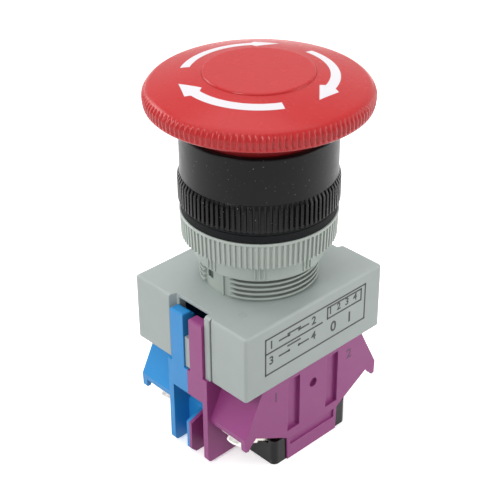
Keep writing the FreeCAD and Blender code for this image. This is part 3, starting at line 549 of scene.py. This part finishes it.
def printed_figures(text: str, x: float, z: float, height: float, face_y: float,
                    ink: float) -> bmesh.types.BMesh:
    """Plain figures printed on a face that looks towards -Y.

    Args:
        text: the figures.
        x: the middle of the text.
        z: its foot.
        height: the height of a figure.
        face_y: where the face is.
        ink: how far the ink stands out from the face and reaches into it.

    Returns:
        The figures as a mesh.
    """
    curve = bpy.data.curves.new("figures", "FONT")
    curve.body = text
    curve.size = height * 1.38
    curve.align_x = "CENTER"
    curve.extrude = ink
    curve.offset = height * 0.035
    curve.resolution_u = 4
    holder = bpy.data.objects.new("figures", curve)
    flat = bpy.data.meshes.new_from_object(holder)
    mesh = bmesh.new()
    mesh.from_mesh(flat)
    upright = Matrix.Translation((x, face_y, z)) @ Matrix.Rotation(math.pi / 2, 4, "X")
    bmesh.ops.transform(mesh, matrix=upright, verts=mesh.verts[:])
    for item, store in ((holder, bpy.data.objects), (curve, bpy.data.curves), (flat, bpy.data.meshes)):
        store.remove(item)
    return mesh


def repeated_round_axis(mesh: bmesh.types.BMesh, count: int) -> None:
    """Copy a whole mesh round Z so that it stands there a number of times."""
    bmesh.ops.spin(mesh, geom=mesh.verts[:] + mesh.edges[:] + mesh.faces[:], cent=(0, 0, 0), axis=(0, 0, 1),
                   angle=2 * math.pi * (count - 1) / count, steps=count - 1, use_duplicate=True)


def joined(meshes: Iterable[bmesh.types.BMesh]) -> bmesh.types.BMesh:
    """One mesh with all the faces of several, which are freed."""
    whole = bmesh.new()
    for mesh in meshes:
        carrier = bpy.data.meshes.new("carrier")
        mesh.to_mesh(carrier)
        whole.from_mesh(carrier)
        mesh.free()
        bpy.data.meshes.remove(carrier)
    return whole


def shade_smooth(piece: bpy.types.Object, crease: float) -> None:
    """Shade a piece smooth, except across edges sharper than an angle in degrees."""
    mesh = bmesh.new()
    mesh.from_mesh(piece.data)
    for face in mesh.faces:
        face.smooth = True
    for edge in mesh.edges:
        edge.smooth = len(edge.link_faces) == 2 and edge.calc_face_angle(0.0) < math.radians(crease)
    mesh.to_mesh(piece.data)
    mesh.free()


@dataclass
class Workshop:
    """What every sub-assembly needs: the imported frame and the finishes."""

    nodes: dict[str, bpy.types.Object]
    finishes: FinishRack = field(default_factory=FinishRack)

    def dress(self, finish: Finish, *names: str) -> None:
        """Give CAD nodes a finish."""
        for name in names:
            node = self.nodes[name]
            if not node.material_slots:
                node.data.materials.append(None)
            for slot in node.material_slots:
                slot.material = self.finishes.get(finish)
            LOG.info("dressed %s in %s", name, finish.name)

    def piece(self, name: str, mesh: bmesh.types.BMesh, finish: Finish, body: str, slot: str,
              crease: float = 35.0) -> bpy.types.Object:
        """Turn a mesh into a piece of the button.

        Args:
            name: the piece's name.
            mesh: its shape, which is freed.
            finish: what it is made of.
            body: the CAD body that it rides on.
            slot: the record's material slot that it belongs to; not used.
            crease: edges sharper than this many degrees stay sharp.

        Returns:
            The new object.
        """
        data = bpy.data.meshes.new(name)
        mesh.to_mesh(data)
        mesh.free()
        made = bpy.data.objects.new(name, data)
        bpy.context.scene.collection.objects.link(made)
        data.materials.append(self.finishes.get(finish))
        shade_smooth(made, crease)
        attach(made, body)
        LOG.info("made %s on %s with %d faces", name, body, len(data.polygons))
        return made


# -------------------------------------------------------------------------------------------- sub-assemblies

@dataclass
class MushroomHead:
    """Red mushroom head: domed top, bulging grooved skirt, raised centre disc and three printed arrows."""

    shop: Workshop
    dome_radius: float = 68.5 * MM
    dome_top_z: float = 26.16 * MM
    dome_edge_r: float = 18.2 * MM
    shoulder_bend: tuple[float, float] = (19.35 * MM, 23.42 * MM)
    skirt_top: tuple[float, float] = (19.92 * MM, 22.1 * MM)
    skirt_bend: tuple[float, float] = (19.98 * MM, 21.2 * MM)
    skirt_foot: tuple[float, float] = (19.72 * MM, 20.32 * MM)
    rim_z: float = 20.15 * MM
    rim_inner_r: float = 18.4 * MM
    seat_r: float = 9.72 * MM
    web_top_z: float = 23.2 * MM
    web_low_z: float = 21.4 * MM
    screw_hole_r: float = 1.96 * MM
    grooves: int = 120
    groove_depth: float = 0.34 * MM
    groove_low_z: float = 20.55 * MM
    groove_top_z: float = 23.2 * MM
    groove_low_end: float = 0.4 * MM
    groove_top_end: float = 0.9 * MM
    steps_per_groove: int = 6
    arc_steps: int = 12
    lip: float = 0.16 * MM
    arrow_tails: tuple[float, float, float] = (123.4, 3.4, -116.6)
    arrow_r: float = 12.88 * MM
    arrow_half_width: float = 0.85 * MM
    arrow_shaft_turn: float = 71.5
    arrow_head_half_width: float = 1.7 * MM
    arrow_head_length: float = 5.0 * MM
    arrow_flare: float = 2.0 / 15.0
    ink: float = 0.03 * MM

    def build(self) -> None:
        """Make the shell and the arrows, and dress the disc and the sleeve."""
        shell = self.make_shell()
        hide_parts("mushroom_head")
        self.shop.dress(Finish.RED_HEAD, "head_cap")
        self.shop.dress(Finish.RED_SLEEVE_PAINTED_SHADE, "cam_sleeve")
        surface = BVHTree.FromObject(shell, bpy.context.evaluated_depsgraph_get())
        for number, tail in enumerate(self.arrow_tails, start=1):
            mesh = self.arrow_sheet(tail)
            self.lay_on(mesh, surface)
            self.shop.piece(f"turn_arrow_{number}", mesh, Finish.WHITE_INK, "head", "white_acetal")

    def outline(self) -> list[tuple[float, float]]:
        """The shell's (radius, z) section, from the disc's seat over the dome, round the skirt and back."""
        centre_z = self.dome_top_z - self.dome_radius
        start = math.degrees(math.acos(self.seat_r / self.dome_radius))
        end = math.degrees(math.acos(self.dome_edge_r / self.dome_radius))
        dome = arc_points((0.0, centre_z), self.dome_radius, start, end, self.arc_steps)
        shoulder = bent_line(dome[-1], self.shoulder_bend, self.skirt_top, self.arc_steps)
        skirt = bent_line(self.skirt_top, self.skirt_bend, self.skirt_foot, self.arc_steps)
        rest = [(self.skirt_foot[0] - self.lip, self.rim_z), (self.rim_inner_r + self.lip, self.rim_z),
                (self.rim_inner_r, self.rim_z + self.lip), (self.rim_inner_r, self.web_low_z),
                (self.screw_hole_r, self.web_low_z), (self.screw_hole_r, self.web_top_z),
                (self.seat_r, self.web_top_z)]
        return dome + shoulder + skirt + rest

    def make_shell(self) -> bpy.types.Object:
        """Spin the section and press the grooves into the skirt."""
        mesh = spun_profile(self.outline(), self.grooves * self.steps_per_groove)
        for vertex in mesh.verts:
            across = math.hypot(vertex.co.x, vertex.co.y)
            inside = min((vertex.co.z - self.groove_low_z) / self.groove_low_end,
                         (self.groove_top_z - vertex.co.z) / self.groove_top_end)
            if across < self.dome_edge_r + 0.5 * MM or inside <= 0.0:
                continue
            full = math.sqrt(min(1.0, inside))
            turn = math.atan2(vertex.co.y, vertex.co.x) * self.grooves
            pressed = min(1.0, max(0.0, 0.5 - 0.9 * math.cos(turn) - 0.9 * (1.0 - full)))
            factor = 1.0 - self.groove_depth * full * pressed / across
            vertex.co.x *= factor
            vertex.co.y *= factor
        return self.shop.piece("mushroom_shell", mesh, Finish.RED_HEAD, "head", "red_head", 60.0)

    def arrow_sheet(self, tail: float) -> bmesh.types.BMesh:
        """A flat arrow that runs clockwise round the disc and ends in a straight-sided head.

        Args:
            tail: the angle of its square end, in degrees.

        Returns:
            The arrow as a sheet at the height of the origin.
        """
        neck = math.radians(tail - self.arrow_shaft_turn)
        outward = Vector((math.cos(neck), math.sin(neck), 0.0))
        onward = Vector((math.sin(neck), -math.cos(neck), 0.0))
        shaft = bmesh.new()
        bmesh.ops.create_grid(shaft, x_segments=30, y_segments=6, size=0.5)
        for vertex in shaft.verts:
            angle = math.radians(tail - self.arrow_shaft_turn * (vertex.co.x + 0.5))
            across = self.arrow_r + 2 * vertex.co.y * self.arrow_half_width
            vertex.co = Vector((across * math.cos(angle), across * math.sin(angle), 0.0))
        head = bmesh.new()
        bmesh.ops.create_grid(head, x_segments=15, y_segments=6, size=0.5)
        for vertex in head.verts:
            share = vertex.co.x + 0.5
            across = self.arrow_r + 2 * vertex.co.y * self.head_half_width(share)
            vertex.co = outward * across + onward * (self.arrow_head_length * share)
        sheet = joined([shaft, head])
        bmesh.ops.remove_doubles(sheet, verts=sheet.verts[:], dist=2e-6)
        return sheet

    def head_half_width(self, share: float) -> float:
        """Half the arrow head's width at a share of its length: a quick flare, then an even taper."""
        if share < self.arrow_flare:
            wider = self.arrow_head_half_width - self.arrow_half_width
            return self.arrow_half_width + wider * share / self.arrow_flare
        return self.arrow_head_half_width * (1.0 - share) / (1.0 - self.arrow_flare)

    def lay_on(self, sheet: bmesh.types.BMesh, surface: BVHTree) -> None:
        """Drop a flat sheet onto the head and give it the ink's thickness."""
        for vertex in sheet.verts:
            hit, _, _, _ = surface.ray_cast(Vector((vertex.co.x, vertex.co.y, 40 * MM)), Vector((0, 0, -1)))
            vertex.co.z = hit.z + self.ink
        bmesh.ops.recalc_face_normals(sheet, faces=sheet.faces[:])
        if sheet.faces[:][0].normal.z < 0:
            bmesh.ops.reverse_faces(sheet, faces=sheet.faces[:])
        skirt = bmesh.ops.extrude_face_region(sheet, geom=sheet.faces[:])
        lowered = [item for item in skirt["geom"] if isinstance(item, bmesh.types.BMVert)]
        bmesh.ops.translate(sheet, vec=(0, 0, -2 * self.ink), verts=lowered)
        bmesh.ops.recalc_face_normals(sheet, faces=sheet.faces[:])


@dataclass
class RibbedRing:
    """A ring with upright ribs all round, on a plain core."""

    shop: Workshop
    outer_low_r: float
    outer_top_r: float
    bore_r: float
    low_z: float
    top_z: float
    rib_top_z: float
    ribs: int
    rib_share: float
    depth: float
    foot_gap: float = 0.0
    slope_high: float = 0.0
    slope_in: float = 0.0
    top_chamfer: float = 0.12 * MM
    rib_rounding: float = 0.07 * MM
    sunk: float = 0.1 * MM
    behind_core: float = 0.02 * MM

    def core(self) -> bmesh.types.BMesh:
        """The ring between and behind the ribs, with the plain band above them where there is one."""
        outline = [(self.bore_r, self.low_z), (self.radius_at(self.low_z) - self.depth, self.low_z)]
        if self.rib_top_z < self.top_z:
            band_r = self.radius_at(self.rib_top_z)
            outline += [(band_r - self.depth, self.rib_top_z), (band_r, self.rib_top_z)]
            last_r = self.radius_at(self.top_z)
        else:
            last_r = self.radius_at(self.top_z) - self.depth
        outline += [(last_r, self.top_z - self.top_chamfer), (last_r - self.top_chamfer, self.top_z),
                    (self.bore_r, self.top_z)]
        return spun_profile(outline, 2 * self.ribs)

    def radius_at(self, z: float) -> float:
        """The outside radius over the ribs at a height."""
        share = (z - self.low_z) / (self.top_z - self.low_z)
        return self.outer_low_r + share * (self.outer_top_r - self.outer_low_r)

    def rib(self) -> bmesh.types.BMesh:
        """One rib at +X, with its outside rounded off and, where asked, its top sloped inwards."""
        foot = self.low_z + self.foot_gap
        middle = self.radius_at((foot + self.rib_top_z) / 2)
        half = math.pi * middle / self.ribs * self.rib_share
        root_r = min(self.outer_low_r, self.outer_top_r) - self.depth - self.sunk
        mesh = block_between((root_r, -half, foot), (middle, half, self.rib_top_z))
        if self.slope_high:
            slope_foot = (0.0, 0.0, self.rib_top_z - self.slope_high)
            bmesh.ops.bisect_plane(mesh, geom=mesh.verts[:] + mesh.edges[:] + mesh.faces[:], dist=1e-8,
                                   plane_co=slope_foot, plane_no=(0.0, 0.0, 1.0))
        for vertex in mesh.verts:
            if vertex.co.x > middle - TINY:
                sloped = self.slope_in if vertex.co.z > self.rib_top_z - TINY else 0.0
                vertex.co.x = self.radius_at(vertex.co.z) - self.behind_core - sloped
            elif self.outer_low_r != self.outer_top_r:
                vertex.co.x = self.radius_at(vertex.co.z) - self.depth - self.sunk
        hidden = [face for face in mesh.faces if face.normal.x < -0.9]
        bmesh.ops.delete(mesh, geom=hidden, context="FACES_ONLY")
        outside = root_r + 3 * self.sunk
        bevel_edges(mesh, self.rib_rounding, 1, lambda at: at.x > outside and abs(at.y) > half - TINY)
        return mesh

    def build(self, name: str, finish: Finish, body: str, slot: str, node: str) -> None:
        """Make the ring as a piece that stands for a CAD node."""
        rib = self.rib()
        repeated_round_axis(rib, self.ribs)
        ring = self.shop.piece(name, joined([self.core(), rib]), finish, body, slot, 40.0)
        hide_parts(node)


@dataclass
class FrontOperator:
    """Black collar, knurled bezel and gasket, with the latch parts inside."""

    shop: Workshop

    def build(self) -> None:
        """Make the bezel and dress the rest."""
        bezel = RibbedRing(self.shop, outer_low_r=14.45 * MM, outer_top_r=14.45 * MM, bore_r=12.9 * MM,
                           low_z=2.0 * MM, top_z=7.36 * MM, rib_top_z=7.36 * MM, ribs=90,
                           rib_share=0.56, depth=0.55 * MM, foot_gap=0.25 * MM, slope_high=0.9 * MM,
                           slope_in=0.45 * MM)
        bezel.build("knurled_bezel", Finish.BLACK_BEZEL, "operator_body", "black_bezel", "bezel_ring")
        self.shop.dress(Finish.BLACK_COLLAR, "front_collar")
        self.shop.dress(Finish.GASKET, "panel_gasket")
        self.shop.dress(Finish.WHITE_ACETAL, "plunger", "push_plate")
        self.shop.dress(Finish.ZINC_STEEL, "head_screw", "push_plate_screw", "lock_pin_left",
                        "lock_pin_right")
        self.shop.dress(Finish.SPRING_STEEL, "lock_pin_spring_left", "lock_pin_spring_right", "return_spring",
                        "torsion_spring")


@dataclass
class PanelFixing:
    """Grey threaded neck, its locking ring and the keyed washer."""

    shop: Workshop

    def build(self) -> None:
        """Make the locking ring and dress the rest."""
        ring = RibbedRing(self.shop, outer_low_r=14.05 * MM, outer_top_r=14.25 * MM, bore_r=11.1 * MM,
                          low_z=-5.04 * MM, top_z=-0.05 * MM, rib_top_z=-0.5 * MM, ribs=90,
                          rib_share=0.46, depth=0.38 * MM)
        ring.build("ribbed_nut", Finish.GREY_RING, "nut", "grey_ring", "locking_ring")
        self.shop.dress(Finish.GREY_THREAD, "threaded_neck")
        self.shop.dress(Finish.GREY_WASHER, "thrust_washer")


@dataclass
class AdaptorBox:
    """Grey adaptor box with a printed frame that holds plain terminal numbers and two contact signs."""

    shop: Workshop
    face_y: float = -14.54 * MM
    left: float = -12.8 * MM
    right: float = 13.2 * MM
    low: float = -24.0 * MM
    high: float = -16.1 * MM
    line: float = 0.34 * MM
    ink: float = 0.02 * MM
    gate: Point = (-12.4 * MM, -8.6 * MM, -13.92 * MM)

    def build(self) -> None:
        """Dress the box, print its front and leave the moulding gate's mark on its top."""
        self.shop.dress(Finish.GREY_BOX, "mounting_adaptor")
        bars = self.frame_bars() + self.small_box_bars() + self.contact_sign(-17.9 * MM, True)
        bars += self.contact_sign(-21.2 * MM, False)
        printed = joined([self.bar(*corners) for corners in bars])
        self.shop.piece("printed_frame", printed, Finish.BLACK_INK, "operator_body", "black_body")
        rows = (("1", -11.2, -18.6, 1.7), ("2", -0.6, -18.6, 1.7), ("3", -11.2, -21.9, 1.7),
                ("4", -0.6, -21.9, 1.7), ("1  2  3  4", 7.0, -18.5, 1.5), ("0", 4.6, -22.6, 2.2),
                ("1", 8.9, -22.6, 2.2))
        figures = joined([printed_figures(text, x * MM, z * MM, height * MM, self.face_y, self.ink)
                          for text, x, z, height in rows])
        self.shop.piece("printed_numbers", figures, Finish.BLACK_INK, "operator_body", "black_body", 60.0)
        self.shop.piece("gate_mark", self.gate_mark(), Finish.GREY_BOX, "operator_body", "grey_box")

    def frame_bars(self) -> list[tuple[float, float, float, float]]:
        """The frame's lines as (x low, x high, z low, z high)."""
        divide_z = self.high - 3.1 * MM
        divide_x = self.left + 0.56 * (self.right - self.left)
        return [(self.left, self.right, self.high - self.line, self.high),
                (self.left, self.right, self.low, self.low + self.line),
                (self.left, self.left + self.line, self.low, self.high),
                (self.right - self.line, self.right, self.low, self.high),
                (self.left, divide_x, divide_z - self.line, divide_z)]

    def small_box_bars(self) -> list[tuple[float, float, float, float]]:
        """Lines of the small box at the frame's upper right."""
        low = self.high - 3.3 * MM
        high = self.high - 0.6 * MM
        left = self.right - 10.4 * MM
        right = self.right - 1.1 * MM
        return [(left, right, high - self.line, high), (left, right, low, low + self.line),
                (left, left + self.line, low, high), (right - self.line, right, low, high)]

    def contact_sign(self, z: float, closed: bool) -> list[tuple[float, float, float, float]]:
        """A wiring diagram's contact: two leads with round ends, bridged when closed.

        Args:
            z: the height of the leads.
            closed: whether the bridge touches the leads.

        Returns:
            Its strokes as (x low, x high, z low, z high).
        """
        half = self.line / 2
        knob = 0.25 * MM
        lift = 0.25 * MM if closed else 0.95 * MM
        leads = [(-9.4 * MM, -6.9 * MM, z - half, z + half), (-4.3 * MM, -1.8 * MM, z - half, z + half)]
        knobs = [(-7.1 * MM, -6.6 * MM, z - knob, z + knob), (-4.6 * MM, -4.1 * MM, z - knob, z + knob)]
        return leads + knobs + [(-7.3 * MM, -3.9 * MM, z + lift, z + lift + self.line)]

    def bar(self, x_low: float, x_high: float, z_low: float, z_high: float) -> bmesh.types.BMesh:
        """One printed line."""
        return block_between((x_low, self.face_y - self.ink, z_low), (x_high, self.face_y + self.ink, z_high))

    def gate_mark(self) -> bmesh.types.BMesh:
        """A shallow ring where the moulding was fed."""
        ring = spun_profile([(0.42 * MM, -0.02 * MM), (0.66 * MM, -0.02 * MM), (0.62 * MM, 0.03 * MM),
                             (0.46 * MM, 0.03 * MM)], 32)
        bmesh.ops.translate(ring, vec=self.gate, verts=ring.verts[:])
        return ring


@dataclass
class ContactBlocks:
    """The violet and the blue contact block, with cores, contacts and terminals."""

    shop: Workshop
    skin_y: float = -14.2 * MM
    number_z: float = -31.4 * MM
    number_height: float = 2.1 * MM
    ink: float = 0.015 * MM

    def build(self) -> None:
        """Dress both blocks."""
        self.shop.dress(Finish.VIOLET_SHELL, "nc_housing")
        self.shop.dress(Finish.BLUE_SHELL, "no_housing")
        self.shop.dress(Finish.BLACK_CORE, "nc_core", "no_core")
        self.shop.dress(Finish.WHITE_ACETAL, "nc_stem", "no_stem")
        self.shop.dress(Finish.ZINC_STEEL, "terminal_screws", "terminal_washers")
        self.shop.dress(Finish.PLATED_STRIP, "nc_terminal_strips", "no_terminal_strips", "nc_bridge",
                        "no_bridge")
        self.shop.dress(Finish.SILVER_TIP, "nc_fixed_tips", "no_fixed_tips", "nc_bridge_tips",
                        "no_bridge_tips")
        self.shop.dress(Finish.SPRING_STEEL, "nc_spring", "no_contact_spring", "no_return_spring")
        self.number("nc_numbers", (("1", -9.6), ("2", 9.6)), Finish.VIOLET_INK, False)
        self.number("no_numbers", (("3", -9.6), ("4", 9.6)), Finish.BLUE_INK, True)

    def number(self, name: str, figures: Sequence[tuple[str, float]], finish: Finish, turned: bool) -> None:
        """Print plain terminal numbers on a block's outer skin.

        Args:
            name: the piece's name.
            figures: each number with its place along the skin in millimetres.
            finish: the ink.
            turned: whether the skin is the blue block's, which faces the other way.
        """
        mesh = joined([printed_figures(text, x * MM, self.number_z, self.number_height, self.skin_y, self.ink)
                       for text, x in figures])
        if turned:
            bmesh.ops.rotate(mesh, matrix=Matrix.Rotation(math.pi, 3, "Z"), verts=mesh.verts[:])
        self.shop.piece(name, mesh, finish, "operator_body", "black_body", 60.0)


@dataclass(frozen=True)
class CoilSpring:
    """A coil spring, the joint that presses on it, the axis it lies along and which end is its seat."""

    node: str
    joint: str
    along: int = 2
    seat_is_high: bool = False

    def load(self, limits: dict[str, float]) -> None:
        """Give the spring its own copy of its mesh and log its length.

        Args:
            limits: each joint's longer travel in metres.
        """
        low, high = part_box(self.node)
        axis = tuple(float(number == self.along) for number in range(3))
        length = high[self.along] - low[self.along]
        seat = high if self.seat_is_high else low
        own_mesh(bpy.data.objects[self.node], self.joint, axis=axis, anchor=seat,
                  keep=1.0 - limits[self.joint] / length)
        LOG.info("%s is %.1f mm long and follows %s", self.node, length / MM, self.joint)


@dataclass
class Springs:
    """The coil springs that the push of the head loads."""

    joints: Sequence[dict[str, object]]

    def build(self) -> None:
        """Give each spring that a joint presses on its own copy of its mesh."""
        slides = [joint for joint in self.joints if "range_m" in joint]
        limits = {joint["name"]: max(map(abs, joint["range_m"])) for joint in slides}
        for spring in (CoilSpring("return_spring", "head_push"), CoilSpring("nc_spring", "nc_carrier_slide"),
                       CoilSpring("no_return_spring", "no_stem_slide"),
                       CoilSpring("lock_pin_spring_left", "lock_pin_left_slide", 0),
                       CoilSpring("lock_pin_spring_right", "lock_pin_right_slide", 0, True)):
            spring.load(limits)


# --------------------------------------------------------------------------------------------------- studio

@dataclass(frozen=True)
class Softbox:
    """A rectangular studio light aimed at the button."""

    name: str
    place: Point
    size: tuple[float, float]
    power: float
    in_reflections: bool = True
    aim: Point = (0.0, 0.0, -0.008)

    def build(self) -> None:
        """Hang the light."""
        lamp = bpy.data.lights.new(self.name, "AREA")
        lamp.shape = "RECTANGLE"
        lamp.size, lamp.size_y = self.size
        lamp.energy = self.power
        holder = bpy.data.objects.new(self.name, lamp)
        direction = Vector(self.aim) - Vector(self.place)
        turned = direction.to_track_quat("-Z", "Y").to_matrix().to_4x4()
        holder.matrix_world = Matrix.Translation(self.place) @ turned
        bpy.context.scene.collection.objects.link(holder)
        holder.visible_glossy = self.in_reflections


@dataclass
class Studio:
    """Camera, pale floor and soft lights."""

    shop: Workshop
    lens: float = 94.437
    eye: Point = (-0.141438, -0.145122, 0.115648)
    azimuth: float = -43.792
    elevation: float = 31.756
    roll: float = -0.298
    floor_size: float = 6.0
    room_low: float = 0.42
    room_high: float = 0.75

    def build(self) -> None:
        """Set up everything that isn't the button."""
        self.set_camera()
        self.lay_floor()
        self.hang_lights()
        self.light_room()

    def set_camera(self) -> None:
        """Stand the camera where the front corner of the box faces it."""
        turn = math.radians(self.azimuth)
        lift = math.radians(self.elevation)
        back = Vector((math.sin(turn) * math.cos(lift), -math.cos(turn) * math.cos(lift), math.sin(lift)))
        right = Vector((math.cos(turn), math.sin(turn), 0.0))
        upward = back.cross(right)
        tilt = Matrix.Rotation(math.radians(self.roll), 3, back)
        right, upward = tilt @ right, tilt @ upward
        lens = bpy.data.cameras.new("camera")
        lens.lens = self.lens
        lens.sensor_width = 36.0
        lens.clip_start = 0.01
        lens.clip_end = 20.0
        holder = bpy.data.objects.new("camera", lens)
        facing = Matrix((right, upward, back)).transposed()
        holder.matrix_world = Matrix.Translation(self.eye) @ facing.to_4x4()
        bpy.context.scene.collection.objects.link(holder)
        bpy.context.scene.camera = holder

    def lay_floor(self) -> None:
        """Lay the floor at the button's lowest point."""
        mesh = bmesh.new()
        bmesh.ops.create_grid(mesh, x_segments=8, y_segments=8, size=self.floor_size / 2)
        bmesh.ops.translate(mesh, vec=(0, 0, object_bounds()[0][2] - 0.02 * MM), verts=mesh.verts[:])
        data = bpy.data.meshes.new("studio_floor")
        mesh.to_mesh(data)
        mesh.free()
        floor = bpy.data.objects.new("studio_floor", data)
        data.materials.append(self.shop.finishes.get(Finish.FLOOR))
        bpy.context.scene.collection.objects.link(floor)
        floor.visible_diffuse = False
        floor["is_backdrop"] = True

    def hang_lights(self) -> None:
        """Hang the softboxes."""
        for softbox in (Softbox("overhead_light", (0.0, 0.15, 0.90), (1.0, 1.0), 3.2),
                        Softbox("key_light", (-0.48, -0.02, 0.30), (0.13, 0.26), 1.05),
                        Softbox("fill_light", (0.20, -0.24, 0.05), (0.20, 0.20), 0.34),
                        Softbox("rim_light", (-0.14, 0.50, 0.20), (0.22, 0.30), 0.8),
                        Softbox("back_light", (0.42, 0.24, 0.22), (0.22, 0.30), 0.9, False)):
            softbox.build()

    def light_room(self) -> None:
        """Light the room softly, more from above than from below, and show it white behind the button."""
        world = bpy.data.worlds.new("studio_room")
        world.use_nodes = True
        nodes = world.node_tree.nodes
        links = world.node_tree.links
        direction = nodes.new("ShaderNodeTexCoord")
        parts = nodes.new("ShaderNodeSeparateXYZ")
        height = nodes.new("ShaderNodeMapRange")
        height.interpolation_type = "SMOOTHSTEP"
        for socket, number in (("From Min", -0.6), ("From Max", 0.5), ("To Min", self.room_low),
                               ("To Max", self.room_high)):
            height.inputs[socket].default_value = number
        links.new(direction.outputs["Generated"], parts.inputs[0])
        links.new(parts.outputs["Z"], height.inputs["Value"])
        seen = nodes.new("ShaderNodeLightPath")
        strength = nodes.new("ShaderNodeMath")
        strength.operation = "MAXIMUM"
        links.new(height.outputs[0], strength.inputs[0])
        links.new(seen.outputs["Is Camera Ray"], strength.inputs[1])
        sky = nodes["Background"]
        sky.inputs["Color"].default_value = (1.0, 1.0, 1.0, 1.0)
        links.new(strength.outputs[0], sky.inputs["Strength"])
        bpy.context.scene.world = world
        bpy.context.scene.view_settings.view_transform = "Standard"


def main() -> None:
    """Load the frame, dress and detail every sub-assembly, and set up the studio."""
    logging.basicConfig(level=logging.INFO, format="%(message)s")
    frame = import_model()
    shop = Workshop(frame["nodes"])
    for assembly in (MushroomHead(shop), FrontOperator(shop), PanelFixing(shop), AdaptorBox(shop),
                     ContactBlocks(shop), Springs(frame["joints"]), Studio(shop)):
        assembly.build()
        LOG.info("finished %s", type(assembly).__name__)


if __name__ == "__main__":
    main()
